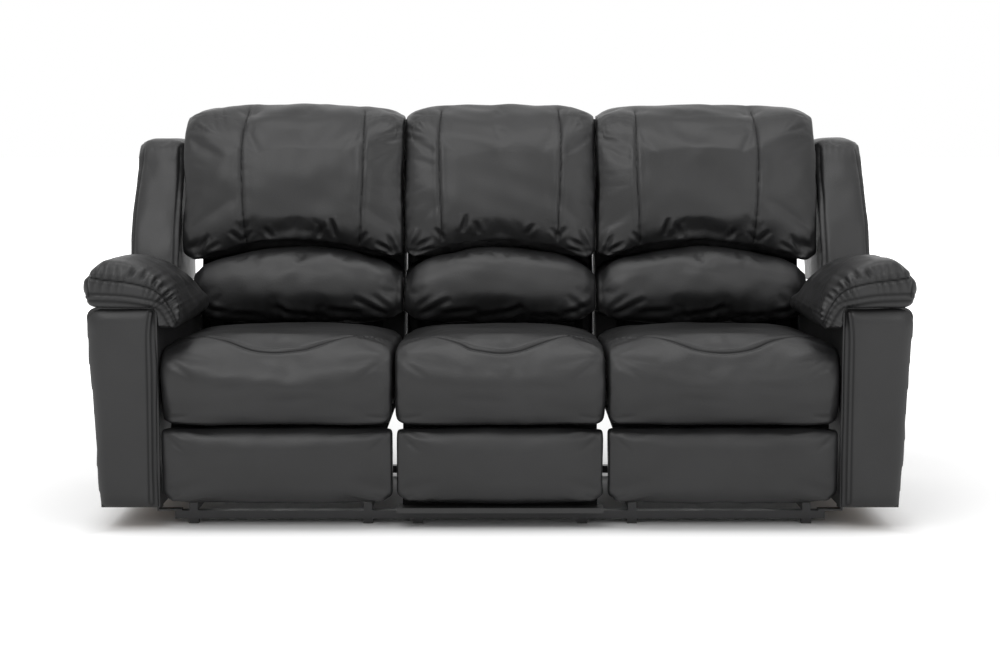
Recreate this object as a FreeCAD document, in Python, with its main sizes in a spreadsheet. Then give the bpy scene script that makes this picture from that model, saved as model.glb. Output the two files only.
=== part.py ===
import FreeCAD, Part

import math
import os
import re

import Sketcher
from FreeCAD import Vector

# Three-seat reclining sofa. Millimetres, +X to the right of someone facing it, -Y to the front,
# +Z up, origin on the floor under the middle of the whole sofa.
# The two outer seats recline and have footrests, the middle seat is fixed.
# The right half is modelled, and the left half is its mirror image.

doc = FreeCAD.newDocument("reclining_sofa")
sheet = doc.addObject("Spreadsheet::Sheet", "Sizes")

sizes = {
    # Widths across the sofa
    "middle_half": 257,
    "seat_width": 563,
    "arm_width": 142,
    "arm_flare": 27,
    "module_gap": 3,
    "fit_gap": 0.3,
    # Base of square tube on plastic glides
    "glide_height": 12,
    "glide_half": 12,
    "rail_height": 20,
    "rail_depth": 25,
    "rail_wall": 1.5,
    "rail_inset": 25,
    "cap_thick": 3,
    "cap_plug": 12,
    "front_rail_y": -350,
    "rear_rail_y": 300,
    "side_rail": 20,
    "middle_room": 55,
    # Recline mechanism of flat steel plates, in layers beside each other
    "mech_room": 67.5,
    "plate_thick": 4,
    "layer_gap": 1,
    "pin_radius": 4,
    "pin_fit": 0.05,
    "open_fit": 0.4,
    "lobe_radius": 13,
    "front_pivot_y": -230,
    "rear_pivot_y": 60,
    "pivot_z": 95,
    "swing_length": 110,
    "swing_lean": 25,
    "swing_radius": 10,
    "plate_bottom": 182,
    "frame_z": 236,
    "hinge_y": 215,
    "hinge_z": 290,
    "tube_half": 9,
    # Footrest linkage
    "toggle_y": -325,
    "toggle_z": 222,
    "toggle_rod": 6,
    "rear_link": 162,
    "rear_link_angle": 126,
    "link_radius": 7,
    "front_pin_y": -350,
    "front_pin_z": 168,
    "link_tail": 44,
    "follower_pin": 22,
    "panel_pin_reach": 28,
    "panel_pin_angle": 58,
    "panel_slot": 2.4,
    # Seat frames of boards with webbing
    "board_room": 41.5,
    "board_thick": 22,
    "board_height": 44,
    "front_board": 18,
    "front_board_y": -384,
    "seat_rear": 150,
    "strap_width": 50,
    "strap_thick": 2.5,
    # Seat cushions
    "cushion_front": -460,
    "lip_bottom": 254,
    "lip_rear": -387,
    "crown_front": 465,
    "crown_rear": 446,
    "cushion_rear": 148,
    "seat_crown": 8,
    "seat_edge": 24,
    "seat_hump_y": -130,
    "bullnose_depth": 74,
    "bullnose_drop": 92,
    "bullnose_swell": 22,
    "lip_set": 22,
    # Front panels
    "panel_front": -455,
    "panel_back": -395,
    "panel_bottom": 56,
    "panel_top": 250,
    "panel_board": 15,
    "panel_board_top": 230,
    "panel_corner": 26,
    "panel_edge": 24,
    "sill_height": 12,
    "middle_panel_inset": 7,
    # Backs
    "back_lean": 14,
    "post_width": 22,
    "post_depth": 25,
    "back_rail": 20,
    "post_foot": 302,
    "cover_bottom": 195,
    "cover_top": 992,
    "cover_wall": 2.5,
    "cover_round": 30,
    "rear_foot_y": 330,
    "rear_lean": 8,
    "head_top": 1022,
    "head_bottom": 655,
    "arch_drop": 50,
    "head_front": 100,
    "head_channel": 6,
    "head_side": 28,
    "head_side_set": 97,
    "head_brow": 80,
    "head_brow_set": 74,
    "head_chin": 60,
    "head_chin_set": 16,
    "head_cap": 14,
    "seam_middle": 155,
    "seam_inner": 372,
    "seam_outer": 681,
    "lumbar_front": 60,
    "lumbar_bottom": 453,
    "lumbar_brow_set": 46,
    "lumbar_foot_set": 26,
    "lumbar_bow": 14,
    # Arms
    "arm_front": -445,
    "arm_bottom": 56,
    "arm_top": 540,
    "arm_round": 24,
    "arm_wall": 2,
    "arm_board": 15,
    "arm_board_set": 110,
    "bracket_thick": 4,
    "bracket_rise": 140,
    "bolt_radius": 7,
    # Arm pads and wings
    "pad_front": -465,
    "pad_rear": 50,
    "pad_crown": 120,
    "pad_crown_set": 92,
    "pad_tip": 489,
    "pad_overhang": 59,
    "pad_bulge": 11,
    "pad_edge": 16,
    "pad_side": 50,
    "pad_shoulder": 24,
    "pad_roll": 100,
    "wing_inner": 32,
    "wing_outer": 16,
    "wing_front": 58,
    "wing_top": 943,
    "wing_board": 12,
    "wing_brow": 200,
    "wing_neck": 150,
    "wing_knee": 34,
    # Release cup and its lever in the outer face of each arm
    "cup_y": -215,
    "cup_z": 420,
    "cup_length": 96,
    "cup_height": 58,
    "cup_depth": 34,
    "cup_wall": 2,
    "cup_flange": 7,
    "lever_thick": 5,
    "lever_pin": 2.5,
    # Soft forms: how far their ends draw in, the channel beside a seam, how full a side swells
    "end_draw": 24,
    "end_run": 60,
    "channel_half": 14,
    "slight": 3,
    "plump": 7,
    "full": 13,
}

for row, (alias, number) in enumerate(sizes.items(), start=1):
    sheet.set(f"A{row}", alias)
    sheet.set(f"B{row}", str(number))
    sheet.setAlias(f"B{row}", alias)
doc.recompute()
size = {alias: float(sheet.get(alias)) for alias in sizes}
nodes = []


def bound(text):
    """Turn words that name a size into references to the sheet."""
    return re.sub(
        r"[a-z][a-z_]*[a-z]",
        lambda word: "Sizes." + word.group() if word.group() in sizes else word.group(),
        str(text),
    )


def bind(thing, path, text):
    thing.setExpression(path, bound(text))


def place(thing, x, y, z):
    bind(thing, "Placement.Base.x", x)
    bind(thing, "Placement.Base.y", y)
    bind(thing, "Placement.Base.z", z)


def box(name, x, y, z, length, width, height):
    """A block whose lowest corner is at x, y, z."""
    block = doc.addObject("Part::Box", name)
    bind(block, "Length", length)
    bind(block, "Width", width)
    bind(block, "Height", height)
    place(block, x, y, z)
    return block


def span(name, x_pair, y_pair, z_pair):
    """A block between two places along each axis."""
    low = [pair[0] for pair in (x_pair, y_pair, z_pair)]
    reach = [f"({pair[1]}) - ({pair[0]})" for pair in (x_pair, y_pair, z_pair)]
    return box(name, *low, *reach)


def rod(name, x, y, z, radius, length, axis="X"):
    """A round bar that starts at x, y, z and runs along X, Y or Z."""
    bar = doc.addObject("Part::Cylinder", name)
    turns = {
        "X": FreeCAD.Rotation(Vector(0, 1, 0), 90),
        "Y": FreeCAD.Rotation(Vector(1, 0, 0), -90),
        "Z": FreeCAD.Rotation(),
    }
    bar.Placement = FreeCAD.Placement(Vector(), turns[axis])
    bind(bar, "Radius", radius)
    bind(bar, "Height", length)
    place(bar, x, y, z)
    return bar


def plate(name, plane, start, thick, corners):
    """A flat piece with straight edges, drawn on a plane of its own body and padded.

    On YZ the corners are (y, z) and it grows along +X; on XZ they are (x, z) and it grows
    along +Y.
    """
    body = doc.addObject("PartDesign::Body", name)
    sketch = body.newObject("Sketcher::SketchObject", name + "_outline")
    origin_plane = [item for item in body.Origin.OriginFeatures if item.Role == plane + "_Plane"][0]
    sketch.AttachmentSupport = [(origin_plane, "")]
    sketch.MapMode = "FlatFace"
    count = len(corners)
    rough = [Vector(10 * math.cos(6.28 * i / count), 10 * math.sin(6.28 * i / count), 0)
             for i in range(count)]
    for i in range(count):
        sketch.addGeometry(Part.LineSegment(rough[i], rough[(i + 1) % count]))
    for i in range(count):
        sketch.addConstraint(Sketcher.Constraint("Coincident", i, 2, (i + 1) % count, 1))
    for i, (across, up) in enumerate(corners):
        for kind, text, value in (("DistanceX", across, rough[i].x), ("DistanceY", up, rough[i].y)):
            number = sketch.addConstraint(Sketcher.Constraint(kind, -1, 1, i, 1, value))
            sketch.setExpression(f"Constraints[{number}]", bound(text))
    toward = "-(" + str(start) + ")" if plane == "XZ" else start
    sketch.setExpression("AttachmentOffset.Base.z", bound(toward))
    pad = body.newObject("PartDesign::Pad", name + "_pad")
    pad.Profile = sketch
    pad.Reversed = plane == "XZ"
    bind(pad, "Length", thick)
    body.Tip = pad
    return body


def joined(name, *parts):
    fusion = doc.addObject("Part::MultiFuse", name)
    fusion.Shapes = list(parts)
    fusion.Refine = True
    return fusion


def cut(name, base, *tools):
    piece = doc.addObject("Part::Cut", name)
    piece.Base = base
    piece.Tool = tools[0] if len(tools) == 1 else joined(name + "_tools", *tools)
    return piece


def common(name, first, second):
    piece = doc.addObject("Part::Common", name)
    piece.Base = first
    piece.Tool = second
    return piece


def group(name, *parts):
    bundle = doc.addObject("Part::Compound", name)
    bundle.Links = list(parts)
    return bundle


def mirrored(name, source, x=0):
    twin = doc.addObject("Part::Mirroring", name)
    twin.Source = source
    twin.Normal = (1, 0, 0)
    bind(twin, "Base.x", x)
    return twin


def both_sides(name, piece, x):
    """The piece and its mirror image on the other side of x."""
    return group(name, piece, mirrored(name + "_twin", piece, x))


def node(name, thing):
    thing.Label = name
    nodes.append(thing)
    return thing


def handed(name, thing):
    """The right piece and its mirror image on the left of the sofa."""
    node("right_" + name, thing)
    node("left_" + name, mirrored("left_" + name, thing))


# Places worked out from the sizes

RIGHT_SEAT = "(middle_half + seat_width/2)"
ARM_INNER = "(middle_half + seat_width)"
ARM_OUTER = "(middle_half + seat_width + arm_width)"
MECH_SET = "(seat_width/2 - mech_room)"
BOARD_SET = "(seat_width/2 - board_room)"
MIDDLE_RAIL = "(middle_half - middle_room)"
MIDDLE_BOARD = "(middle_half - middle_room + lobe_radius - layer_gap)"
RAIL_TOP = "(glide_height + rail_height)"
SIDE_TOP = "(glide_height + rail_height + side_rail)"
RAIL_REACH = "(middle_half + seat_width - rail_inset)"
SWING_Y = "swing_length*sin(swing_lean)"
SWING_Z = "swing_length*cos(swing_lean)"
UPPER_Z = f"(pivot_z + {SWING_Z})"
WEB_Z = "(frame_z + board_height)"
PIN_HOLE = "(pin_radius + pin_fit)"


def layer(number):
    """Left face of a steel layer on the right side of the right seat's mechanism."""
    return f"({RIGHT_SEAT} + {MECH_SET} - plate_thick/2 + {number}*(plate_thick + layer_gap))"


def frame_front(height):
    """Front plane of a back frame, which leans back from the recline hinge."""
    return f"(hinge_y - post_depth/2 + ({height} - hinge_z)*tan(back_lean))"


def rear_face(height):
    """Rear face of the arms and backs, which leans back from its foot."""
    return f"(rear_foot_y + ({height} - arm_bottom)*tan(rear_lean))"


# Base rails of square tube

def rail(name, y):
    outer = box(
        name + "_outer", "-" + RAIL_REACH, f"{y} - rail_depth/2", "glide_height",
        "2*" + RAIL_REACH, "rail_depth", "rail_height",
    )
    bore = box(
        name + "_bore", f"-{RAIL_REACH} - 1", f"{y} - rail_depth/2 + rail_wall",
        "glide_height + rail_wall", f"2*{RAIL_REACH} + 2",
        "rail_depth - 2*rail_wall", "rail_height - 2*rail_wall",
    )
    return cut(name, outer, bore)


def end_cap(name, y):
    """Plastic plug with a flange over the end of a rail."""
    flange = box(
        name + "_flange", RAIL_REACH, f"{y} - rail_depth/2", "glide_height",
        "cap_thick", "rail_depth", "rail_height",
    )
    plug = box(
        name + "_plug", f"{RAIL_REACH} - cap_plug", f"{y} - rail_depth/2 + rail_wall + fit_gap",
        "glide_height + rail_wall + fit_gap", "cap_plug",
        "rail_depth - 2*rail_wall - 2*fit_gap", "rail_height - 2*rail_wall - 2*fit_gap",
    )
    return joined(name, flange, plug)


rail_lines = {"front": "front_rail_y", "rear": "rear_rail_y"}
side_lines = {
    "outer": f"({RIGHT_SEAT} + {MECH_SET})",
    "inner": f"({RIGHT_SEAT} - {MECH_SET})",
    "middle": MIDDLE_RAIL,
}
node("cross_rails", group("cross_rails", *[rail(end + "_rail", y) for end, y in rail_lines.items()]))
caps = [end_cap(end + "_cap", y) for end, y in rail_lines.items()]
node("rail_end_caps", both_sides("rail_end_caps", group("right_caps", *caps), 0))

glides = []
for end, y in rail_lines.items():
    for line, x in side_lines.items():
        glides.append(box(
            f"{end}_{line}_glide", f"{x} - glide_half", f"{y} - glide_half", "0",
            "2*glide_half", "2*glide_half", "glide_height"))
node("floor_glides", both_sides("floor_glides", group("right_glides", *glides), 0))


def side_tube(line):
    """Tube on top of both cross rails, front to rear."""
    return box(
        line + "_tube", f"{side_lines[line]} - side_rail/2", "front_rail_y - rail_depth/2",
        RAIL_TOP, "side_rail", "rear_rail_y - front_rail_y + rail_depth", "side_rail",
    )


def base_plate():
    """Steel plate welded on a side tube, with the lower bearings of the two swing links."""
    low = SIDE_TOP
    top = "(pivot_z + lobe_radius)"
    web = plate("base_web", "YZ", layer(0), "plate_thick", [
        ("front_pivot_y - 3*lobe_radius", low),
        ("rear_pivot_y + 3*lobe_radius", low),
        ("rear_pivot_y + lobe_radius", "pivot_z"),
        ("rear_pivot_y + lobe_radius/2", top),
        ("rear_pivot_y - lobe_radius/2", top),
        ("rear_pivot_y - lobe_radius", "pivot_z"),
        ("rear_pivot_y - 3*lobe_radius", f"{low} + lobe_radius"),
        ("front_pivot_y + 3*lobe_radius", f"{low} + lobe_radius"),
        ("front_pivot_y + lobe_radius", "pivot_z"),
        ("front_pivot_y + lobe_radius/2", top),
        ("front_pivot_y - lobe_radius/2", top),
        ("front_pivot_y - lobe_radius", "pivot_z"),
    ])
    holes = [rod(f"base_hole_{end}", f"{layer(0)} - 1", f"{end}_pivot_y", "pivot_z", PIN_HOLE,
                 "plate_thick + 2") for end in ("front", "rear")]
    return cut("base_plate", web, *holes)


mechanism_plate = both_sides("base_plates", base_plate(), RIGHT_SEAT)
tubes = [side_tube(line) for line in side_lines]
node("base_side_rails", both_sides("base_side_rails", group("right_base", mechanism_plate, *tubes), 0))


# Links of flat bar with round ends. An angle is measured from straight ahead (-Y) towards up (+Z).

def along(y, z, length, angle):
    """The point at a distance from y, z in the direction of an angle."""
    return f"({y} - {length}*cos({angle}))", f"({z} + {length}*sin({angle}))"


def bar(name, x, start, length, angle, radius):
    """Flat bar with round ends whose centres are length apart."""
    y, z = start
    far_y, far_z = along(y, z, length, angle)
    side_y = f"{radius}*sin({angle})"
    side_z = f"{radius}*cos({angle})"
    shank = plate(name + "_shank", "YZ", x, "plate_thick", [
        (f"{y} + {side_y}", f"{z} + {side_z}"),
        (f"{far_y} + {side_y}", f"{far_z} + {side_z}"),
        (f"{far_y} - {side_y}", f"{far_z} - {side_z}"),
        (f"{y} - {side_y}", f"{z} - {side_z}"),
    ])
    ends = [rod(f"{name}_end_{tag}", x, end_y, end_z, radius, "plate_thick")
            for tag, end_y, end_z in (("near", y, z), ("far", far_y, far_z))]
    return joined(name, shank, *ends)


def pin(name, x, point, length, radius="pin_radius"):
    return rod(name, x, point[0], point[1], radius, length)


def hole(name, x, point, radius):
    return rod(name, f"{x} - 1", point[0], point[1], radius, "plate_thick + 2")


STACK = "2*plate_thick + layer_gap"
SWING_ANGLE = "(90 + swing_lean)"
TOGGLE = ("toggle_y", "toggle_z")
KNEE = along(*TOGGLE, "rear_link", "(-rear_link_angle)")
FRONT_PIN = ("front_pin_y", "front_pin_z")
LINK_RUN = f"({KNEE[0]} - front_pin_y)"
LINK_RISE = f"(front_pin_z - {KNEE[1]})"
FRONT_LINK = f"sqrt({LINK_RUN}*{LINK_RUN} + {LINK_RISE}*{LINK_RISE})"
FRONT_ANGLE = f"(atan({LINK_RISE}/{LINK_RUN})/1deg)"
TAIL = along(*KNEE, "link_tail", f"({FRONT_ANGLE} + 180)")
SECOND_TOGGLE = along(*TOGGLE, "link_tail", f"({FRONT_ANGLE} + 180)")
FOLLOWER_PIN = along(*KNEE, "follower_pin", "(180 - rear_link_angle)")
PANEL_PIN = along(*FRONT_PIN, "panel_pin_reach", "panel_pin_angle")
FOLLOWER_RUN = f"({FOLLOWER_PIN[0]} - {PANEL_PIN[0]})"
FOLLOWER_RISE = f"({PANEL_PIN[1]} - {FOLLOWER_PIN[1]})"
FOLLOWER_LINK = f"sqrt({FOLLOWER_RUN}*{FOLLOWER_RUN} + {FOLLOWER_RISE}*{FOLLOWER_RISE})"
FOLLOWER_ANGLE = f"(atan({FOLLOWER_RISE}/{FOLLOWER_RUN})/1deg)"


def swing_link(end):
    """Link between the base plate and the seat plate, with a pin at each end."""
    lower = (f"{end}_pivot_y", "pivot_z")
    upper = along(*lower, "swing_length", SWING_ANGLE)
    flat = bar(f"{end}_swing_bar", layer(1), lower, "swing_length", SWING_ANGLE, "swing_radius")
    lower_pin = pin(f"{end}_swing_low_pin", layer(0), lower, STACK)
    upper_pin = pin(f"{end}_swing_high_pin", layer(1), upper, STACK)
    return joined(f"{end}_swing_link", flat, lower_pin, upper_pin)


for end in ("front", "rear"):
    handed(f"{end}_swing_links", both_sides(f"right_{end}_swing_links", swing_link(end), RIGHT_SEAT))


# Seat carriage: two plates with a flange under the boards, joined by cross tubes

def seat_plate():
    upper = {end: (f"({end}_pivot_y + {SWING_Y})", UPPER_Z) for end in ("front", "rear")}
    hinge = ("hinge_y", "hinge_z")
    web = plate("seat_web", "YZ", layer(2), "plate_thick", [
        ("toggle_y - lobe_radius", "frame_z"),
        ("toggle_y - lobe_radius", "toggle_z - lobe_radius/2"),
        (f"{SECOND_TOGGLE[0]} - lobe_radius", f"{SECOND_TOGGLE[1]} - lobe_radius"),
        (f"{upper['front'][0]} - lobe_radius/2", "plate_bottom"),
        (f"{upper['rear'][0]} + lobe_radius/2", "plate_bottom"),
        ("hinge_y + lobe_radius", "hinge_z - lobe_radius/2"),
        ("hinge_y - lobe_radius", "hinge_z + lobe_radius/2"),
        ("seat_rear + front_board + fit_gap", "frame_z"),
    ])
    lobe = rod("seat_lobe_hinge", layer(2), *hinge, "lobe_radius", "plate_thick")
    flange = span(
        "seat_flange", (layer(2), f"{RIGHT_SEAT} + {BOARD_SET} + board_thick"),
        ("toggle_y - lobe_radius", "seat_rear"), ("frame_z - plate_thick", "frame_z"),
    )
    holes = [
        hole("seat_hole_hinge", layer(2), hinge, PIN_HOLE),
        hole("seat_hole_front", layer(2), upper["front"], PIN_HOLE),
        hole("seat_hole_rear", layer(2), upper["rear"], "pin_radius + open_fit"),
        hole("seat_hole_toggle", layer(2), TOGGLE, "toggle_rod + pin_fit"),
        hole("seat_hole_second", layer(2), SECOND_TOGGLE, PIN_HOLE),
    ]
    return cut("seat_plate", joined("seat_plate_blank", web, flange, lobe), *holes)


def cross_tube(name, y, z):
    """Square tube between the two seat plates."""
    left = f"(2*{RIGHT_SEAT} - {layer(2)})"
    outer = box(name + "_outer", left, f"{y} - tube_half", f"{z} - tube_half",
                f"{layer(2)} - {left}", "2*tube_half", "2*tube_half")
    bore = box(name + "_bore", left, f"{y} - tube_half + rail_wall", f"{z} - tube_half + rail_wall",
               f"{layer(2)} - {left}", "2*(tube_half - rail_wall)", "2*(tube_half - rail_wall)")
    return cut(name, outer, bore)


seat_side = seat_plate()
handed("seat_carriage", joined(
    "right_seat_carriage", seat_side, mirrored("seat_plate_twin", seat_side, RIGHT_SEAT),
    cross_tube("front_tube", f"front_pivot_y + {SWING_Y} + 5*lobe_radius", "plate_bottom + 2*lobe_radius"),
    cross_tube("rear_tube", f"rear_pivot_y + {SWING_Y} - 5*lobe_radius", "plate_bottom + 2*lobe_radius"),
))


# Footrest linkage, the same on both sides of the seat

rear_flat = bar("rear_link_bar", layer(3), TOGGLE, "rear_link", "(-rear_link_angle)", "link_radius")
rear_side = cut(
    "rear_link_side", rear_flat,
    hole("rear_link_knee", layer(3), KNEE, PIN_HOLE),
    hole("rear_link_follower", layer(3), FOLLOWER_PIN, PIN_HOLE),
)
toggle_start = f"(2*{RIGHT_SEAT} - {layer(3)} - plate_thick)"
toggle_shaft = pin("toggle_shaft", toggle_start, TOGGLE,
                   f"{layer(3)} + plate_thick - {toggle_start}", "toggle_rod")
handed("footrest_rear_links", joined(
    "right_footrest_rear_links", toggle_shaft, rear_side,
    mirrored("rear_link_twin", rear_side, RIGHT_SEAT),
))

follower_flat = bar("rear_follower_bar", layer(3), SECOND_TOGGLE, "rear_link", "(-rear_link_angle)",
                    "link_radius")
rear_follower = joined(
    "rear_follower",
    cut("rear_follower_flat", follower_flat,
        hole("rear_follower_hole", layer(3), TAIL, "pin_radius + open_fit")),
    pin("rear_follower_pin", layer(2), SECOND_TOGGLE, STACK),
)
handed("footrest_rear_followers", both_sides("right_rear_followers", rear_follower, RIGHT_SEAT))

front_flat = bar("front_link_bar", layer(4), TAIL, f"({FRONT_LINK} + link_tail)", FRONT_ANGLE,
                 "link_radius")
front_pins = [pin(f"front_link_pin_{tag}", layer(3), point, STACK)
              for tag, point in (("tail", TAIL), ("knee", KNEE), ("panel", FRONT_PIN))]
front_side = joined("front_link_side", front_flat, *front_pins)
handed("footrest_front_links", both_sides("right_front_links", front_side, RIGHT_SEAT))

second_flat = bar("front_follower_bar", layer(2), FOLLOWER_PIN, FOLLOWER_LINK, FOLLOWER_ANGLE,
                  "link_radius")
second_pins = [pin(f"front_follower_pin_{tag}", layer(2), point, STACK)
               for tag, point in (("rear", FOLLOWER_PIN), ("panel", PANEL_PIN))]
second_side = joined("front_follower_side", second_flat, *second_pins)
handed("footrest_front_followers", both_sides("right_front_followers", second_side, RIGHT_SEAT))


# Footrest frame: a board with two steel brackets behind it

BOARD_REAR = "(panel_back + fit_gap + panel_board)"


def panel_bracket():
    """Steel bracket with the two bearings of the footrest, bent over against the board."""
    web = plate("bracket_web", "YZ", layer(3), "plate_thick", [
        (BOARD_REAR, "front_pin_z - 2*lobe_radius"),
        ("front_pin_y", "front_pin_z - link_radius - 2"),
        ("front_pin_y + link_radius + 2", "front_pin_z"),
        (f"{PANEL_PIN[0]} + link_radius + 2", PANEL_PIN[1]),
        (PANEL_PIN[0], f"{PANEL_PIN[1]} + link_radius + 2"),
        (BOARD_REAR, f"{PANEL_PIN[1]} + link_radius + 2"),
    ])
    foot = span(
        "bracket_foot", (f"{layer(3)} - 2*lobe_radius", f"{layer(3)} + plate_thick"),
        (BOARD_REAR, f"{BOARD_REAR} + plate_thick/2"),
        ("front_pin_z - 3*lobe_radius", f"{PANEL_PIN[1]} + link_radius + 2"),
    )
    return cut(
        "panel_bracket", joined("bracket_blank", web, foot),
        hole("bracket_hole_front", layer(3), FRONT_PIN, PIN_HOLE),
        hole("bracket_hole_panel", layer(3), PANEL_PIN, "pin_radius + panel_slot"),
    )


def panel_back_board(name, x_low, x_high):
    return span(name, (x_low, x_high), ("panel_back + fit_gap", BOARD_REAR),
                ("panel_bottom + lobe_radius", "panel_board_top"))


footrest_board = panel_back_board(
    "footrest_board", "middle_half + 2*lobe_radius", f"{ARM_INNER} - 2*lobe_radius")
brackets = both_sides("panel_brackets", panel_bracket(), RIGHT_SEAT)
handed("footrest_frame", group("right_footrest_frame", footrest_board, brackets))


# Seat frames: four boards, and webbing straps across them

def seat_frame(name, centre, offset):
    half = f"({offset} + board_thick)"
    top = WEB_Z
    inner_front = "(front_board_y + front_board)"
    side = span(
        name + "_side", (f"{centre} + {offset}", f"{centre} + {half}"),
        (inner_front, "seat_rear"), ("frame_z", top),
    )
    front = span(name + "_front", (f"{centre} - {half}", f"{centre} + {half}"),
                 ("front_board_y", inner_front), ("frame_z", top))
    rear = span(name + "_rear", (f"{centre} - {half}", f"{centre} + {half}"),
                ("seat_rear", "seat_rear + front_board"), ("frame_z", top))
    return group(name, side, mirrored(name + "_side_twin", side, centre), front, rear)


def webbing(name, centre, offset):
    """Four elastic straps across, stapled on the side boards."""
    half = f"({offset} + board_thick/2)"
    deep = "(seat_rear - front_board_y)"
    pitch = f"({deep}/5)"
    straps = []
    for number in range(1, 5):
        middle = f"(front_board_y + front_board/2 + {number}*{pitch})"
        straps.append(span(
            f"{name}_strap_{number}", (f"{centre} - {half}", f"{centre} + {half}"),
            (f"{middle} - strap_width/2", f"{middle} + strap_width/2"),
            (WEB_Z, f"{WEB_Z} + strap_thick"),
        ))
    return group(name, *straps)


handed("seat_frame", seat_frame("right_seat_frame", RIGHT_SEAT, BOARD_SET))
handed("seat_webbing", webbing("right_seat_webbing", RIGHT_SEAT, BOARD_SET))
node("middle_seat_frame", seat_frame("middle_seat_frame", "0", MIDDLE_BOARD))
node("middle_seat_webbing", webbing("middle_seat_webbing", "0", MIDDLE_BOARD))


# Fixed stand of the middle seat: two plates on the middle side tubes, with a post for the back

STAND_X = f"({MIDDLE_RAIL} - plate_thick/2)"


def stand():
    web = plate("stand_web", "YZ", STAND_X, "plate_thick", [
        ("front_rail_y", SIDE_TOP),
        ("rear_rail_y", SIDE_TOP),
        ("rear_rail_y - lobe_radius", f"{SIDE_TOP} + 2*lobe_radius"),
        (f"{frame_front('post_foot')} + post_depth", "post_foot"),
        (f"{frame_front('(hinge_z + 6*lobe_radius)')} + post_depth", "hinge_z + 6*lobe_radius"),
        (frame_front("(hinge_z + 6*lobe_radius)"), "hinge_z + 6*lobe_radius"),
        (f"{frame_front('frame_z')} + fit_gap", "frame_z"),
        ("front_rail_y + lobe_radius", "frame_z"),
        (BOARD_REAR, "panel_board_top"),
        (BOARD_REAR, f"{SIDE_TOP} + 4*lobe_radius"),
    ])
    window = plate("stand_window", "YZ", f"{STAND_X} - 1", "plate_thick + 2", [
        ("front_rail_y + 4*lobe_radius", f"{SIDE_TOP} + 2*lobe_radius"),
        ("seat_rear - 2*lobe_radius", f"{SIDE_TOP} + 2*lobe_radius"),
        ("seat_rear - 2*lobe_radius", "frame_z - 2*lobe_radius"),
        ("front_rail_y + 4*lobe_radius", "frame_z - 2*lobe_radius"),
    ])
    flange = span(
        "stand_flange", (STAND_X, f"{MIDDLE_BOARD} + board_thick"),
        ("front_rail_y + lobe_radius", "seat_rear"), ("frame_z - plate_thick", "frame_z"),
    )
    return joined("stand", cut("stand_plate", web, window), flange)


node("middle_supports", both_sides("middle_supports", stand(), 0))


# Back frames: two posts with three rails behind them

def back_frame(name, centre, post_set, half, brackets=None):
    top = "cover_top - cover_wall - fit_gap"
    post = plate(name + "_post", "YZ", f"{centre} + {post_set}", "post_width", [
        (frame_front("post_foot"), "post_foot"),
        (f"{frame_front('post_foot')} + post_depth", "post_foot"),
        (f"{frame_front(f'({top})')} + post_depth", top),
        (frame_front(f"({top})"), top),
    ])
    rails = []
    spans = {
        "low": ("post_foot + 2*lobe_radius", "post_foot + 5*lobe_radius"),
        "mid": ("head_bottom - 2*lobe_radius", "head_bottom + lobe_radius"),
        "top": (f"{top} - 4*lobe_radius", top),
    }
    for tag, (low, high) in spans.items():
        rails.append(plate(f"{name}_{tag}", "YZ", f"{centre} - {half}", f"2*{half}", [
            (f"{frame_front(f'({low})')} + post_depth", low),
            (f"{frame_front(f'({low})')} + post_depth + back_rail", low),
            (f"{frame_front(f'({high})')} + post_depth + back_rail", high),
            (f"{frame_front(f'({high})')} + post_depth", high),
        ]))
    pieces = [post, mirrored(name + "_post_twin", post, centre), *rails]
    if brackets:
        pieces.append(brackets)
    return group(name, *pieces)


def back_bracket():
    """Steel plate from the recline hinge up the side of a post, with the hinge pin."""
    foot = "hinge_z"
    high = "(hinge_z + 10*lobe_radius)"
    web = plate("back_bracket_web", "YZ", layer(1), "plate_thick", [
        ("hinge_y - lobe_radius", foot),
        ("hinge_y + lobe_radius", foot),
        (f"{frame_front(high)} + post_depth", high),
        (frame_front(high), high),
    ])
    lobe = rod("back_bracket_lobe", layer(1), "hinge_y", "hinge_z", "lobe_radius", "plate_thick")
    hinge_pin = pin("hinge_pin", layer(1), ("hinge_y", "hinge_z"), STACK)
    return joined("back_bracket", web, lobe, hinge_pin)


COVER_HALF = "(seat_width/2 - module_gap)"
INNER_HALF = f"({COVER_HALF} - cover_wall - fit_gap)"
MIDDLE_COVER = "(middle_half - module_gap)"
MIDDLE_INNER = f"({MIDDLE_COVER} - cover_wall - fit_gap)"
POST_SET = f"({MECH_SET} + plate_thick/2 + layer_gap - post_width)"
handed("back_frame", back_frame(
    "right_back_frame", RIGHT_SEAT, POST_SET, INNER_HALF,
    both_sides("back_brackets", back_bracket(), RIGHT_SEAT),
))
node("middle_back_frame", back_frame("middle_back_frame", "0", f"({MIDDLE_RAIL} + plate_thick/2)", MIDDLE_INNER))


# Back covers: leather over card, a shell that is open to the front and below

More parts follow.
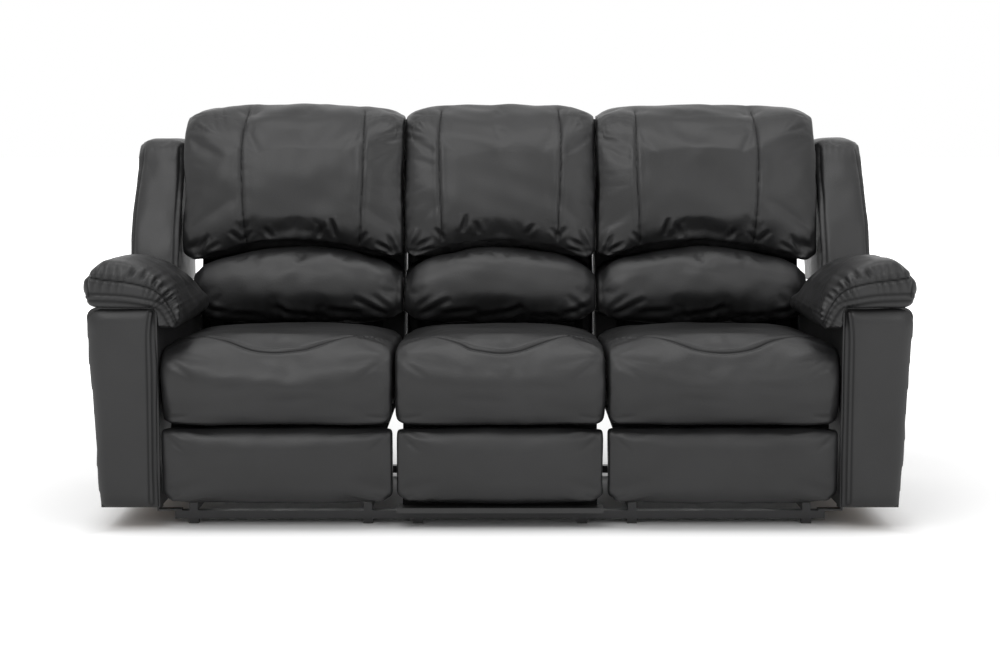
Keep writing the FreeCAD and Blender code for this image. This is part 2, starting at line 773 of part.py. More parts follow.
def back_cover(name, centre, half):
    shoulder = "(post_foot + 2*lobe_radius)"
    outer = plate(name + "_outer", "YZ", f"{centre} - {half}", f"2*{half}", [
        ("hinge_y + 4*lobe_radius", "cover_bottom"),
        (rear_face("cover_bottom"), "cover_bottom"),
        (rear_face("(cover_top - cover_round)"), "cover_top - cover_round"),
        (f"{rear_face('cover_top')} - cover_round", "cover_top"),
        (frame_front("cover_top"), "cover_top"),
        (frame_front(shoulder), shoulder),
    ])
    inside = plate(name + "_inner", "YZ", f"{centre} - {half} + cover_wall", f"2*{half} - 2*cover_wall", [
        ("hinge_y - 4*lobe_radius", "cover_bottom - lobe_radius"),
        (f"{rear_face('(cover_bottom - lobe_radius)')} - cover_wall", "cover_bottom - lobe_radius"),
        (f"{rear_face('(cover_top - cover_round)')} - cover_wall", "cover_top - cover_round"),
        (f"{rear_face('cover_top')} - cover_round - cover_wall/2", "cover_top - cover_wall"),
        (f"{frame_front('cover_top')} - 2*lobe_radius", "cover_top - cover_wall"),
        (f"{frame_front(shoulder)} - 2*lobe_radius", shoulder),
    ])
    return cut(name, outer, inside)


handed("back_cover", back_cover("right_back_cover", RIGHT_SEAT, COVER_HALF))
node("middle_back_cover", back_cover("middle_back_cover", "0", MIDDLE_COVER))


# Middle front panel: a board on the stand, with a black strip under it

PANEL_HALF = "(middle_half - middle_panel_inset)"
PANEL_FOOT = "(panel_bottom - module_gap)"
node("middle_panel_board", span(
    "middle_panel_board", (f"-{PANEL_HALF} + lobe_radius", f"{PANEL_HALF} - lobe_radius"),
    ("panel_back + fit_gap", BOARD_REAR), (PANEL_FOOT, "panel_board_top"),
))
node("middle_panel_sill", span(
    "middle_panel_sill", (f"-{PANEL_HALF}", PANEL_HALF),
    ("panel_front + lobe_radius", BOARD_REAR), (f"{PANEL_FOOT} - sill_height", PANEL_FOOT),
))


# Arms: boards inside a leather cover that is open below

ARM_SKIN = "(arm_wall + fit_gap)"
BOARD_TOP = f"(arm_top - {ARM_SKIN} - arm_board)"
BOARD_X = f"({ARM_INNER} + {ARM_SKIN})"
ARM_LENGTH = f"({rear_face('arm_top')} - arm_front)"


def arm_form(name, skin, low):
    """Arm outline from the front crossed with its outline from the side, in by one skin."""
    front = plate(name + "_front", "XZ", f"arm_front + {skin}", ARM_LENGTH, [
        (f"{ARM_INNER} + {skin}", low),
        (f"{ARM_OUTER} - {skin} + arm_flare*({low} - arm_bottom)/(arm_top - arm_bottom)", low),
        (f"{ARM_OUTER} + arm_flare - {skin}", f"arm_top - {skin}"),
        (f"{ARM_INNER} + {skin}", f"arm_top - {skin}"),
    ])
    side = plate(name + "_side", "YZ", f"{ARM_INNER} - 1", "arm_width + arm_flare + 2", [
        ("arm_front - 1", low),
        (f"{rear_face(low)} - {skin}", low),
        (f"{rear_face('arm_top')} - {skin}", "arm_top"),
        ("arm_front - 1", "arm_top"),
    ])
    return common(name, front, side)


def rounded(name, base, radius, chosen):
    """Fillet on the edges of a piece for which chosen(edge) is true."""
    doc.recompute()
    fillet = doc.addObject("Part::Fillet", name)
    fillet.Base = base
    fillet.Edges = [(number, radius, radius) for number, edge in enumerate(base.Shape.Edges, start=1)
                    if chosen(edge)]
    return fillet


def shoulder_edge(edge):
    """The long edge at the outer top corner of an arm."""
    middle = edge.BoundBox.Center
    outer = size["middle_half"] + size["seat_width"] + size["arm_width"]
    return edge.BoundBox.YLength > 300 and middle.x > outer and middle.z > size["arm_top"] - 10


arm_outer = rounded("arm_outer", arm_form("arm_block", "0", "arm_bottom"), size["arm_round"], shoulder_edge)
arm_inner = rounded(
    "arm_inner", arm_form("arm_core", "arm_wall", "(arm_bottom - 1)"),
    size["arm_round"] - size["arm_wall"], shoulder_edge,
)
CUP_SLOPE = "(arm_flare/(arm_top - arm_bottom))"
CUP_X = f"({ARM_OUTER} + {CUP_SLOPE}*(cup_z - arm_bottom))"


def on_arm_face(thing):
    """Turn and move a piece drawn at the origin to the release cup's place on the arm."""
    thing.Placement = FreeCAD.Placement(Vector(), FreeCAD.Rotation(Vector(0, 1, 0), 1))
    bind(thing, "Placement.Rotation.Angle", f"atan({CUP_SLOPE})")
    place(thing, CUP_X, "cup_y", "cup_z")
    return thing


def cup_block(name, depth, length, height, start="0"):
    """Block centred on the cup, from start inwards by depth."""
    return box(name, f"{start} - ({depth})", f"-({length})/2", f"-({height})/2", depth, length, height)


WING_BOARD_X = f"({ARM_INNER} + arm_width/2 + lobe_radius)"
cup_window = on_arm_face(group("cup_window", cup_block(
    "cup_window_block", "2*cup_depth", "cup_length + 2*fit_gap", "cup_height + 2*fit_gap", "cup_depth")))
board_slot = span(
    "board_slot", (f"{WING_BOARD_X} - fit_gap", f"{WING_BOARD_X} + wing_board + fit_gap"),
    ("wing_front + 4*lobe_radius - fit_gap", f"{rear_face('arm_top')} - 3*lobe_radius + fit_gap"),
    ("arm_top - 2*arm_wall", "arm_top + 1"),
)
handed("arm_cover", cut("right_arm_cover", arm_outer, arm_inner, cup_window, board_slot))


def arm_side_board(name, x):
    rear = f"({ARM_SKIN} + arm_board)"
    foot = "(arm_bottom + arm_wall)"
    return plate(name, "YZ", x, "arm_board", [
        (f"arm_front + {rear}", foot),
        (f"{rear_face(foot)} - {rear}", foot),
        (f"{rear_face(BOARD_TOP)} - {rear}", BOARD_TOP),
        (f"arm_front + {rear}", BOARD_TOP),
    ])


def arm_frame():
    foot = "(arm_bottom + arm_wall)"
    outer_x = f"({ARM_INNER} + arm_board_set)"
    wide = f"({outer_x} + arm_board - {BOARD_X})"
    front = span("arm_front_board", (BOARD_X, f"{outer_x} + arm_board"),
                 (f"arm_front + {ARM_SKIN}", f"arm_front + {ARM_SKIN} + arm_board"), (foot, BOARD_TOP))
    rear = plate("arm_rear_board", "YZ", BOARD_X, wide, [
        (f"{rear_face(foot)} - {ARM_SKIN} - arm_board", foot),
        (f"{rear_face(foot)} - {ARM_SKIN}", foot),
        (f"{rear_face(BOARD_TOP)} - {ARM_SKIN}", BOARD_TOP),
        (f"{rear_face(BOARD_TOP)} - {ARM_SKIN} - arm_board", BOARD_TOP),
    ])
    top = plate("arm_top_board", "YZ", BOARD_X, wide, [
        (f"arm_front + {ARM_SKIN}", BOARD_TOP),
        (f"{rear_face(BOARD_TOP)} - {ARM_SKIN}", BOARD_TOP),
        (f"{rear_face(BOARD_TOP)} - {ARM_SKIN}", f"{BOARD_TOP} + arm_board"),
        (f"arm_front + {ARM_SKIN}", f"{BOARD_TOP} + arm_board"),
    ])
    inset = "3*lobe_radius"
    wing_sheet = plate("wing_sheet", "YZ", WING_BOARD_X, "wing_board", [
        ("wing_front + 4*lobe_radius", f"{BOARD_TOP} + arm_board"),
        (f"{rear_face('arm_top')} - {inset}", f"{BOARD_TOP} + arm_board"),
        (f"{rear_face('(wing_top - 4*lobe_radius)')} - {inset}", "wing_top - 4*lobe_radius"),
        ("wing_front + 18*lobe_radius", "wing_top - 4*lobe_radius"),
        ("wing_front + 6*lobe_radius", "arm_top + 10*lobe_radius"),
    ])
    return group(
        "right_arm_frame", arm_side_board("arm_inner_board", BOARD_X),
        arm_side_board("arm_outer_board", outer_x), front, rear, top, wing_sheet,
    )


handed("arm_frame", arm_frame())


def bolt_head(name, x, y, z):
    """Hexagon head that points along X."""
    head = doc.addObject("Part::Prism", name)
    head.Polygon = 6
    head.Placement = FreeCAD.Placement(Vector(), FreeCAD.Rotation(Vector(0, 1, 0), 90))
    bind(head, "Circumradius", "bolt_radius")
    bind(head, "Height", "plate_thick")
    place(head, x, y, z)
    return head


def arm_bracket(end, y, inward):
    """Flat bar on the end of a rail, turned up behind the arm's inner board, with two bolt heads."""
    board_face = f"({BOARD_X} + arm_board)"
    bar_piece = span(f"{end}_bracket_bar",
                     (f"{RAIL_REACH} - lobe_radius", f"{board_face} + bracket_thick"),
                     (f"{y} - rail_depth/2", f"{y} + rail_depth/2"),
                     (RAIL_TOP, f"{RAIL_TOP} + bracket_thick"))
    upright = span(f"{end}_bracket_upright", (board_face, f"{board_face} + bracket_thick"),
                   (f"{y} - rail_depth/2 - {inward[0]}", f"{y} + rail_depth/2 + {inward[1]}"),
                   (RAIL_TOP, "bracket_rise"))
    heads = [bolt_head(f"{end}_bolt_head_{number}", f"{board_face} + bracket_thick", y,
                       f"bracket_rise - {number}*2*lobe_radius") for number in (1, 2)]
    return joined(f"{end}_arm_bracket", bar_piece, upright, *heads)


right_brackets = group(
    "right_brackets",
    arm_bracket("front", "front_rail_y", ("0", "3*lobe_radius")),
    arm_bracket("rear", "rear_rail_y", ("3*lobe_radius", "0")),
)
node("arm_brackets", both_sides("arm_brackets", right_brackets, 0))


# Release: a cup let into the arm's outer face, with a sprung lever on an upright pin

LEVER_PIN_Y = "(cup_length/2 - 3*cup_wall - lever_pin)"
LEVER_X = "(-3*cup_wall - lever_thick/2)"
cup_body = cup_block("cup_body", "cup_depth", "cup_length", "cup_height")
cup_rim = cup_block("cup_rim", "cup_wall", "cup_length + 2*cup_flange", "cup_height + 2*cup_flange",
                    "cup_wall")
cup_space = cup_block("cup_space", "cup_depth + cup_wall", "cup_length - 2*cup_wall",
                      "cup_height - 2*cup_wall", "2*cup_wall")
lever_bore = rod("lever_bore", LEVER_X, LEVER_PIN_Y, "-cup_height", "lever_pin + pin_fit",
                 "2*cup_height", "Z")
handed("release_cup", on_arm_face(cut("right_release_cup", joined("cup_blank", cup_body, cup_rim),
                                      cup_space, lever_bore)))
lever_plate = span(
    "lever_plate", (f"{LEVER_X} - lever_thick/2", f"{LEVER_X} + lever_thick/2"),
    ("-cup_length/2 + cup_wall + 3*lever_thick", LEVER_PIN_Y),
    ("-cup_height/2 + 2*cup_wall", "cup_height/2 - 2*cup_wall"),
)
lever_rod = rod("lever_rod", LEVER_X, LEVER_PIN_Y, "-cup_height/2", "lever_pin", "cup_height", "Z")
lever_barrel = rod("lever_barrel", LEVER_X, LEVER_PIN_Y, "-cup_height/2 + 2*cup_wall",
                   "lever_pin + 2*cup_wall", "cup_height - 4*cup_wall", "Z")
handed("release_handle", on_arm_face(joined("right_release_handle", lever_plate, lever_rod, lever_barrel)))


# Soft forms: each is a loft through outlines of lines and arcs, drawn in at its ends.
# These read the sheet's sizes directly, because their outlines are worked out one by one.

right_centre = size["middle_half"] + size["seat_width"] / 2
arm_face = size["middle_half"] + size["seat_width"]
arm_side = arm_face + size["arm_width"]
module_half = size["seat_width"] / 2 - size["module_gap"]
middle_reach = size["middle_half"] - size["module_gap"]
cushion_under = size["frame_z"] + size["board_height"] + size["strap_thick"] + size["fit_gap"]


def frame_line(height):
    lean = math.tan(math.radians(size["back_lean"]))
    return size["hinge_y"] - size["post_depth"] / 2 + (height - size["hinge_z"]) * lean


def rear_line(height):
    return size["rear_foot_y"] + (height - size["arm_bottom"]) * math.tan(math.radians(size["rear_lean"]))


def outline(corners, to_space):
    """A closed wire. Each corner is (across, up, swell), the swell of the side that follows it."""
    edges = []
    for here, after in zip(corners, corners[1:] + corners[:1]):
        run = after[0] - here[0]
        rise = after[1] - here[1]
        chord = math.hypot(run, rise)
        start = to_space(here[0], here[1])
        end = to_space(after[0], after[1])
        if here[2]:
            push = here[2] / chord
            middle = to_space((here[0] + after[0]) / 2 + push * rise, (here[1] + after[1]) / 2 - push * run)
            edges.append(Part.Arc(start, middle, end).toShape())
        else:
            edges.append(Part.LineSegment(start, end).toShape())
    return Part.Wire(edges)


def soft(name, stations, section, across_x=True):
    """A soft piece lofted through section(station) at each station along X, or along Y."""
    wires = []
    for station in stations:
        at = station["at"]
        to_space = (lambda a, b, at=at: Vector(at, a, b)) if across_x else (
            lambda a, b, at=at: Vector(a, at, b))
        wires.append(outline(section(station), to_space))
    piece = doc.addObject("Part::Feature", name)
    piece.Shape = Part.makeLoft(wires, True, True)
    return piece


SLIGHT = size["slight"]
PLUMP = size["plump"]
FULL = size["full"]


def drawn_in(step):
    """How far a soft form is in from its crown at a step away from its end."""
    return size["end_draw"] * (1 - step / size["end_run"]) ** 5


def stations_between(low, high, middle, half, seams=(), between=1):
    """Stations from end to end: insets near both ends, a groove at each seam, others between."""
    run = high - low - 2 * size["end_run"]
    places = [(low + size["end_run"] + run * part / (between + 1), 0, 0) for part in range(1, between + 1)]
    for share in (0, 0.12, 0.36, 1):
        step = share * size["end_run"]
        places += [(low + step, drawn_in(step), 0), (high - step, drawn_in(step), 0)]
    for seam in seams:
        places += [(seam - size["channel_half"], 0, 0), (seam, 0, size["head_channel"]),
                   (seam + size["channel_half"], 0, 0)]
    return [{"at": at, "inset": inset, "groove": groove, "off": (at - middle) / half}
            for at, inset, groove in sorted(places)]


def seat_section(station):
    inset = station["inset"]
    sag = size["seat_crown"] * station["off"] ** 2 + inset
    low = cushion_under + inset / 2
    lip = size["lip_bottom"] + inset / 3
    rear = size["cushion_rear"] - inset
    front = size["cushion_front"] + inset
    rear_top = size["crown_rear"] - sag
    front_top = size["crown_front"] - sag
    return [
        (rear, low, SLIGHT),
        (rear, rear_top - size["seat_edge"], PLUMP),
        (rear - size["seat_edge"], rear_top, SLIGHT),
        (size["seat_hump_y"], (rear_top + front_top) / 2 + SLIGHT, SLIGHT),
        (size["cushion_front"] + size["bullnose_depth"], front_top, size["bullnose_swell"]),
        (front, front_top - size["bullnose_drop"], PLUMP),
        (front + size["lip_set"], lip, 0),
        (size["lip_rear"], lip, 0),
        (size["lip_rear"], low, 0),
    ]


def seat_cushion(name, middle, half):
    return soft(name, stations_between(middle - half, middle + half, middle, half), seat_section)


handed("seat_cushion", seat_cushion("right_seat_cushion", right_centre, module_half))
node("middle_seat_cushion", seat_cushion("middle_seat_cushion", 0, middle_reach))


def panel_section(station):
    inset = station["inset"]
    low = size["panel_bottom"] + inset * size["panel_corner"] / size["end_draw"]
    high = size["panel_top"] - inset / 4
    front = size["panel_front"] + inset * 0.8
    edge = size["panel_front"] + size["panel_edge"] + inset / 2
    return [
        (size["panel_back"], low, 0),
        (size["panel_back"], high, 0),
        (edge, high, PLUMP),
        (front, high - size["panel_edge"], SLIGHT),
        (front, low + size["panel_edge"], PLUMP),
        (edge, low, 0),
    ]


def front_panel(name, middle, half):
    return soft(name, stations_between(middle - half, middle + half, middle, half), panel_section)


handed("footrest_pad", front_panel("right_footrest_pad", right_centre, module_half))
node("middle_front_panel", front_panel(
    "middle_front_panel", 0, size["middle_half"] - size["middle_panel_inset"]))


def arch(station):
    """Lower edge of a head pillow, which arches up over the lumbar pillow."""
    return size["head_bottom"] - size["arch_drop"] * min(1, abs(station["off"])) ** 2


def lumbar_section(station):
    inset = station["inset"]
    low = size["lumbar_bottom"] + inset
    high = arch(station) - size["module_gap"] - inset
    front = size["lumbar_front"] + inset + size["lumbar_bow"] * station["off"] ** 2
    return [
        (frame_line(low) - size["fit_gap"], low, 0),
        (frame_line(high) - size["fit_gap"], high, 0),
        (front + size["lumbar_brow_set"], high, FULL),
        (front, (low + high) / 2, FULL),
        (front + size["lumbar_foot_set"], low, 0),
    ]


def head_section(station):
    draw = station["inset"] + station["groove"]
    back = size["fit_gap"] + station.get("set_forward", 0)
    low = arch(station) + station["inset"]
    step = size["cover_top"] + size["fit_gap"]
    high = size["head_top"] - draw
    brow = high - size["head_brow"]
    chin = size["head_bottom"] + size["head_chin"]
    front = size["head_front"] + draw
    lean = 0.9 * math.tan(math.radians(size["back_lean"]))
    brow_front = front + (brow - size["head_bottom"]) * lean
    rear = rear_line(size["cover_top"]) - size["cover_round"] / 2 - station["inset"]
    return [
        (frame_line(low) - back, low, 0),
        (frame_line(step) - back, step, 0),
        (rear, step, SLIGHT),
        (rear - size["head_cap"], high - SLIGHT, SLIGHT),
        (brow_front + size["head_brow_set"], high, FULL),
        (brow_front, brow, PLUMP),
        (front + size["head_chin"] * lean, chin, PLUMP),
        (front + size["head_chin_set"], low, 0),
    ]


def lumbar_pillow(name, middle, half):
    stations = stations_between(middle - half, middle + half, middle, half, between=9)
    return soft(name, stations, lumbar_section)


handed("lumbar_pillow", lumbar_pillow("right_lumbar_pillow", right_centre, module_half))
node("middle_lumbar_pillow", lumbar_pillow("middle_lumbar_pillow", 0, middle_reach))

node("middle_head_pillow", soft("middle_head_pillow", stations_between(
    -middle_reach, middle_reach, 0, middle_reach, (-size["seam_middle"], size["seam_middle"]), between=5,
), head_section))

# An outer head pillow runs on over the arm, where its back is set forward in front of the wing
head_stations = stations_between(
    size["middle_half"] + size["module_gap"], arm_face + size["head_side"], right_centre, module_half,
    (size["seam_inner"], size["seam_outer"]), between=5,
)
step_place = arm_face - size["module_gap"]
step_off = (step_place - right_centre) / module_half
head_stations += [
    {"at": step_place, "inset": 0, "groove": 0, "off": step_off},
    {"at": step_place + 1, "inset": 0, "groove": 0, "off": step_off},
]
head_stations.sort(key=lambda station: station["at"])
for station in head_stations:
    if station["at"] > step_place:
        station["set_forward"] = size["head_side_set"]
handed("head_pillow", soft("right_head_pillow", head_stations, head_section))


def pad_section(station):
    """Arm pad seen from the front: it sits on the arm and hangs over the arm's inner face."""
    inset = station["inset"]
    top = size["arm_top"] + size["fit_gap"]
    outer = arm_side + size["arm_flare"] + size["pad_bulge"] - inset
    inner = arm_face - size["pad_overhang"] + inset / 3
    wall = arm_face - size["fit_gap"]
    crown = top + size["pad_crown"] - inset - station["sink"]
    crown_x = arm_side + size["arm_flare"] - size["pad_crown_set"] / 2
    tip = size["pad_tip"] + inset / 2
    return [
        (wall, tip, 0),
        (wall, top, 0),
        (outer - size["pad_edge"], top, SLIGHT),
        (outer, top + size["pad_side"], PLUMP),
        (crown_x, crown, PLUMP),
        (crown_x - size["pad_crown_set"], crown - size["pad_shoulder"], PLUMP),
        (inner + size["pad_edge"], crown - size["pad_roll"], PLUMP),
        (inner, tip + size["pad_shoulder"], SLIGHT),
        (inner + size["pad_edge"], tip, 0),
    ]


# The pad draws in at both ends and sinks towards the wing
pad_stations = [
    {"at": size["pad_front"] + run, "inset": inset, "sink": sink}
    for run, inset, sink in ((0, 20, 4), (7, 8, 2), (22, 2, 0), (90, 0, 0), (150, 0, 2), (205, 0, 4),
                             (265, 0, 6), (320, 0, 9), (370, 0, 13), (415, 0, 17))
] + [
    {"at": size["pad_rear"] - run, "inset": inset, "sink": sink}
    for run, inset, sink in ((60, 0, 20), (14, 4, 26), (0, 18, 28))
]
handed("arm_pad", soft("right_arm_pad", pad_stations, pad_section, across_x=False))


def wing_section(station):
    inset = station["inset"]
    low = size["arm_top"] + size["fit_gap"]
    front = size["wing_front"] + inset
    high = size["wing_top"] - inset
    rear = rear_line(high) - inset - size["module_gap"]
    return [
        (rear_line(low) - inset - size["module_gap"], low, 0),
        (rear, high - size["wing_knee"], PLUMP),
        (rear - size["wing_knee"], high, SLIGHT),
        (front + size["wing_brow"], high - SLIGHT, PLUMP),
        (front + size["wing_neck"], high - size["head_chin"], PLUMP),
        (front + size["wing_knee"], low + size["wing_neck"], PLUMP),
        (front, low, 0),
    ]


wing_low = arm_face + size["wing_inner"]
wing_high = arm_side + size["arm_flare"] - size["wing_outer"] / 2
wing_stations = []
for run, inset in ((0, 20), (6, 8), (22, 1)):
    wing_stations += [{"at": wing_low + run, "inset": inset}, {"at": wing_high - run, "inset": inset}]
wing_stations.sort(key=lambda station: station["at"])
wing_form = soft("wing_form", wing_stations, wing_section)
wing_slot = plate("wing_slot", "YZ", f"{WING_BOARD_X} - fit_gap", "wing_board + 2*fit_gap", [
    ("wing_front + 4*lobe_radius - fit_gap", "arm_top - 1"),
    (f"{rear_face('arm_top')} - 3*lobe_radius + fit_gap", "arm_top - 1"),
    (f"{rear_face('(wing_top - 4*lobe_radius)')} - 3*lobe_radius + fit_gap",
     "wing_top - 4*lobe_radius + fit_gap"),
    ("wing_front + 18*lobe_radius - fit_gap", "wing_top - 4*lobe_radius + fit_gap"),
    ("wing_front + 6*lobe_radius - 2*fit_gap", "arm_top + 10*lobe_radius"),
])
handed("wing", cut("right_wing", wing_form, wing_slot))


# Check every object, then write one file for each sub-part

doc.recompute()
failed = [item.Name for item in doc.Objects if "Invalid" in item.State or "Error" in item.State]
if failed:
    raise RuntimeError("failed objects: " + ", ".join(failed))
for thing in nodes:
    if thing.Shape.isNull() or not thing.Shape.isValid() or not thing.Shape.Solids:
        raise RuntimeError("bad shape: " + thing.Label)

os.makedirs("parts", exist_ok=True)
for thing in nodes:
    thing.Shape.exportStep(f"parts/{thing.Label}.step")
whole = FreeCAD.BoundBox()
for thing in nodes:
    whole.add(thing.Shape.BoundBox)
print(f"{len(nodes)} sub-parts, {whole.XLength:.1f} x {whole.YLength:.1f} x {whole.ZLength:.1f} mm")
print(f"x {whole.XMin:.1f} to {whole.XMax:.1f}, y {whole.YMin:.1f} to {whole.YMax:.1f}, z {whole.ZMin:.1f}")
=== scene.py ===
import math

import bmesh
import bpy
import numpy as np
from mathutils import Matrix, Vector
from mathutils.bvhtree import BVHTree


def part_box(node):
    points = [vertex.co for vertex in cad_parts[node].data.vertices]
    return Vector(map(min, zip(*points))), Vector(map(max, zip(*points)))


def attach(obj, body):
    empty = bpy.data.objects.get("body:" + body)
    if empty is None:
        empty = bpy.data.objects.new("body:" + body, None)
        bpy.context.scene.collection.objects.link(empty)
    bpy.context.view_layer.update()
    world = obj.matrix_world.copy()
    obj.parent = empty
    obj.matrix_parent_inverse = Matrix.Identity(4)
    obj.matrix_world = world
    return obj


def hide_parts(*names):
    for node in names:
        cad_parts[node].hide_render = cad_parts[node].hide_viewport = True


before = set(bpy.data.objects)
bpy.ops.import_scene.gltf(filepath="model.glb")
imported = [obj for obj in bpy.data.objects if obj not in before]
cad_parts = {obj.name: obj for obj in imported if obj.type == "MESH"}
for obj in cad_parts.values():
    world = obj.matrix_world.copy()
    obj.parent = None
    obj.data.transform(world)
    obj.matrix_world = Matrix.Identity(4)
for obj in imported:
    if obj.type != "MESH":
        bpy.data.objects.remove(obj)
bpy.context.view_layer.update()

SIDES = ("right", "left")


# Steel base and its glides
# Two square cross rails on plastic feet carry short rails front to rear. They are welded tube
# with a black powder coat, closed at the ends with moulded caps.

def new_material(name):
    """An empty material: its node tree and its Principled shader."""
    material = bpy.data.materials.new(name)
    material.use_nodes = True
    return material, material.node_tree, material.node_tree.nodes["Principled BSDF"]


def add(tree, kind, inputs=(), **settings):
    """A node with its settings, whose inputs are numbers, colours or other nodes' outputs."""
    node = tree.nodes.new(kind)
    for key, value in settings.items():
        setattr(node, key, value)
    for key, value in dict(inputs).items():
        if isinstance(value, bpy.types.NodeSocket):
            tree.links.new(value, node.inputs[key])
        else:
            node.inputs[key].default_value = value
    return node


def new_group(name, inputs, outputs):
    """A shader node group with named values in and out."""
    group = bpy.data.node_groups.new(name, "ShaderNodeTree")
    for label, kind in inputs:
        group.interface.new_socket(label, in_out="INPUT", socket_type="NodeSocket" + kind)
    for label, kind in outputs:
        group.interface.new_socket(label, in_out="OUTPUT", socket_type="NodeSocket" + kind)
    return group, group.nodes.new("NodeGroupInput").outputs, group.nodes.new("NodeGroupOutput").inputs


def use_group(tree, group, inputs):
    node = tree.nodes.new("ShaderNodeGroup")
    node.node_tree = group
    for key, value in inputs.items():
        if isinstance(value, bpy.types.NodeSocket):
            tree.links.new(value, node.inputs[key])
        else:
            node.inputs[key].default_value = value
    return node.outputs


def object_place(tree):
    return add(tree, "ShaderNodeTexCoord").outputs["Object"]


def bumped(tree, shader, height, distance, strength=1.0):
    bump = add(tree, "ShaderNodeBump", {"Height": height, "Distance": distance, "Strength": strength})
    tree.links.new(bump.outputs["Normal"], shader.inputs["Normal"])


def ramp(tree, value, low, high, colours):
    """Colour between two, as value goes from low to high."""
    node = add(tree, "ShaderNodeValToRGB", {"Fac": value})
    for stop, place, colour in zip(node.color_ramp.elements, (low, high), colours):
        stop.position = place
        stop.color = (*colour, 1)
    return node.outputs["Color"]


# Handling dulls a coat unevenly: a cloudy mask that more than one finish uses
haze, haze_in, haze_out = new_group("Handled haze", [("Vector", "Vector"), ("Size", "Float")],
                                    [("Mask", "Float")])
haze_wide = add(haze, "ShaderNodeTexNoise", {"Vector": haze_in["Vector"], "Scale": haze_in["Size"],
                                             "Detail": 5.0, "Roughness": 0.62})
haze.links.new(haze_wide.outputs["Fac"], haze_out["Mask"])


def coat(name, colour, roughness, orange_peel, peel_size=900.0, metallic=0.0, specular=0.5):
    """A sprayed or moulded black finish with a fine texture and a cloudy sheen."""
    material, tree, shader = new_material(name)
    place = object_place(tree)
    mask = use_group(tree, haze, {"Vector": place, "Size": 14.0})["Mask"]
    lighter = tuple(min(1, c * 1.7 + 0.004) for c in colour)
    tree.links.new(ramp(tree, mask, 0.35, 0.7, (colour, lighter)), shader.inputs["Base Color"])
    rough = add(tree, "ShaderNodeMapRange", {"Value": mask, "From Min": 0.3, "From Max": 0.7,
                                             "To Min": roughness - 0.07, "To Max": roughness + 0.09})
    tree.links.new(rough.outputs["Result"], shader.inputs["Roughness"])
    shader.inputs["Metallic"].default_value = metallic
    shader.inputs["Specular IOR Level"].default_value = specular
    peel = add(tree, "ShaderNodeTexNoise", {"Vector": place, "Scale": peel_size, "Detail": 2.0})
    bumped(tree, shader, peel.outputs["Fac"], orange_peel)
    return material


def finished(material, *names):
    """Give CAD nodes their finish."""
    for name in names:
        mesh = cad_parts[name].data
        mesh.materials.clear()
        mesh.materials.append(material)


black_steel = coat("black powder coat", (0.012, 0.012, 0.013), 0.42, 0.00006)
black_plastic = coat("moulded black plastic", (0.01, 0.01, 0.01), 0.5, 0.00004, 1600.0)
finished(black_steel, "cross_rails", "base_side_rails", "middle_supports", "arm_brackets")
finished(black_plastic, "rail_end_caps", "floor_glides", "middle_panel_sill")


# Recline and footrest linkage
# Flat bars of zinc plated steel, riveted at their pivots, swing the seat and push the footrest
# out. The seat's own side plates are powder coated black.

def zinc(name, colour=(0.5, 0.51, 0.52)):
    material, tree, shader = new_material(name)
    place = object_place(tree)
    spangle = add(tree, "ShaderNodeTexVoronoi", {"Vector": place, "Scale": 240.0})
    drawn = add(tree, "ShaderNodeMapping", {"Vector": place, "Scale": (900.0, 60.0, 60.0)})
    streak = add(tree, "ShaderNodeTexNoise", {"Vector": drawn.outputs["Vector"], "Scale": 1.0, "Detail": 4.0})
    mask = use_group(tree, haze, {"Vector": place, "Size": 30.0})["Mask"]
    dark = tuple(c * 0.62 for c in colour)
    tree.links.new(ramp(tree, mask, 0.3, 0.7, (dark, colour)), shader.inputs["Base Color"])
    shader.inputs["Metallic"].default_value = 1.0
    rough = add(tree, "ShaderNodeMapRange", {"Value": spangle.outputs["Distance"], "From Max": 0.6,
                                             "To Min": 0.26, "To Max": 0.42})
    tree.links.new(rough.outputs["Result"], shader.inputs["Roughness"])
    bumped(tree, shader, streak.outputs["Fac"], 0.00004)
    return material


zinc_plate = zinc("zinc plated bar")
for side in SIDES:
    finished(zinc_plate, *[f"{side}_{part}" for part in (
        "front_swing_links", "rear_swing_links", "footrest_rear_links", "footrest_rear_followers",
        "footrest_front_links", "footrest_front_followers")])
    finished(black_steel, f"{side}_seat_carriage")


# Boards and webbing
# The seats, backs, arms and footrests are built on plywood and softwood boards, glued and
# stapled. Elastic straps across the seat frames carry the cushions.

def plywood():
    material, tree, shader = new_material("raw plywood")
    place = object_place(tree)
    stretched = add(tree, "ShaderNodeMapping", {"Vector": place, "Scale": (3.0, 14.0, 3.0)})
    grain = add(tree, "ShaderNodeTexNoise", {"Vector": stretched.outputs["Vector"], "Scale": 9.0,
                                             "Detail": 8.0, "Distortion": 1.4})
    fibre = add(tree, "ShaderNodeTexNoise", {"Vector": stretched.outputs["Vector"], "Scale": 160.0,
                                             "Detail": 3.0})
    tree.links.new(ramp(tree, grain.outputs["Fac"], 0.36, 0.68, ((0.36, 0.22, 0.11), (0.6, 0.43, 0.25))),
                   shader.inputs["Base Color"])
    shader.inputs["Roughness"].default_value = 0.72
    bumped(tree, shader, fibre.outputs["Fac"], 0.0002)
    return material


def elastic():
    material, tree, shader = new_material("elastic webbing")
    place = object_place(tree)
    rib = add(tree, "ShaderNodeTexWave", {"Vector": place, "Scale": 160.0, "Distortion": 0.6},
              bands_direction="Y")
    tree.links.new(ramp(tree, rib.outputs["Fac"], 0.3, 0.8, ((0.008, 0.008, 0.009), (0.05, 0.05, 0.052))),
                   shader.inputs["Base Color"])
    shader.inputs["Roughness"].default_value = 0.85
    shader.inputs["Sheen Weight"].default_value = 0.25
    bumped(tree, shader, rib.outputs["Fac"], 0.0004)
    return material


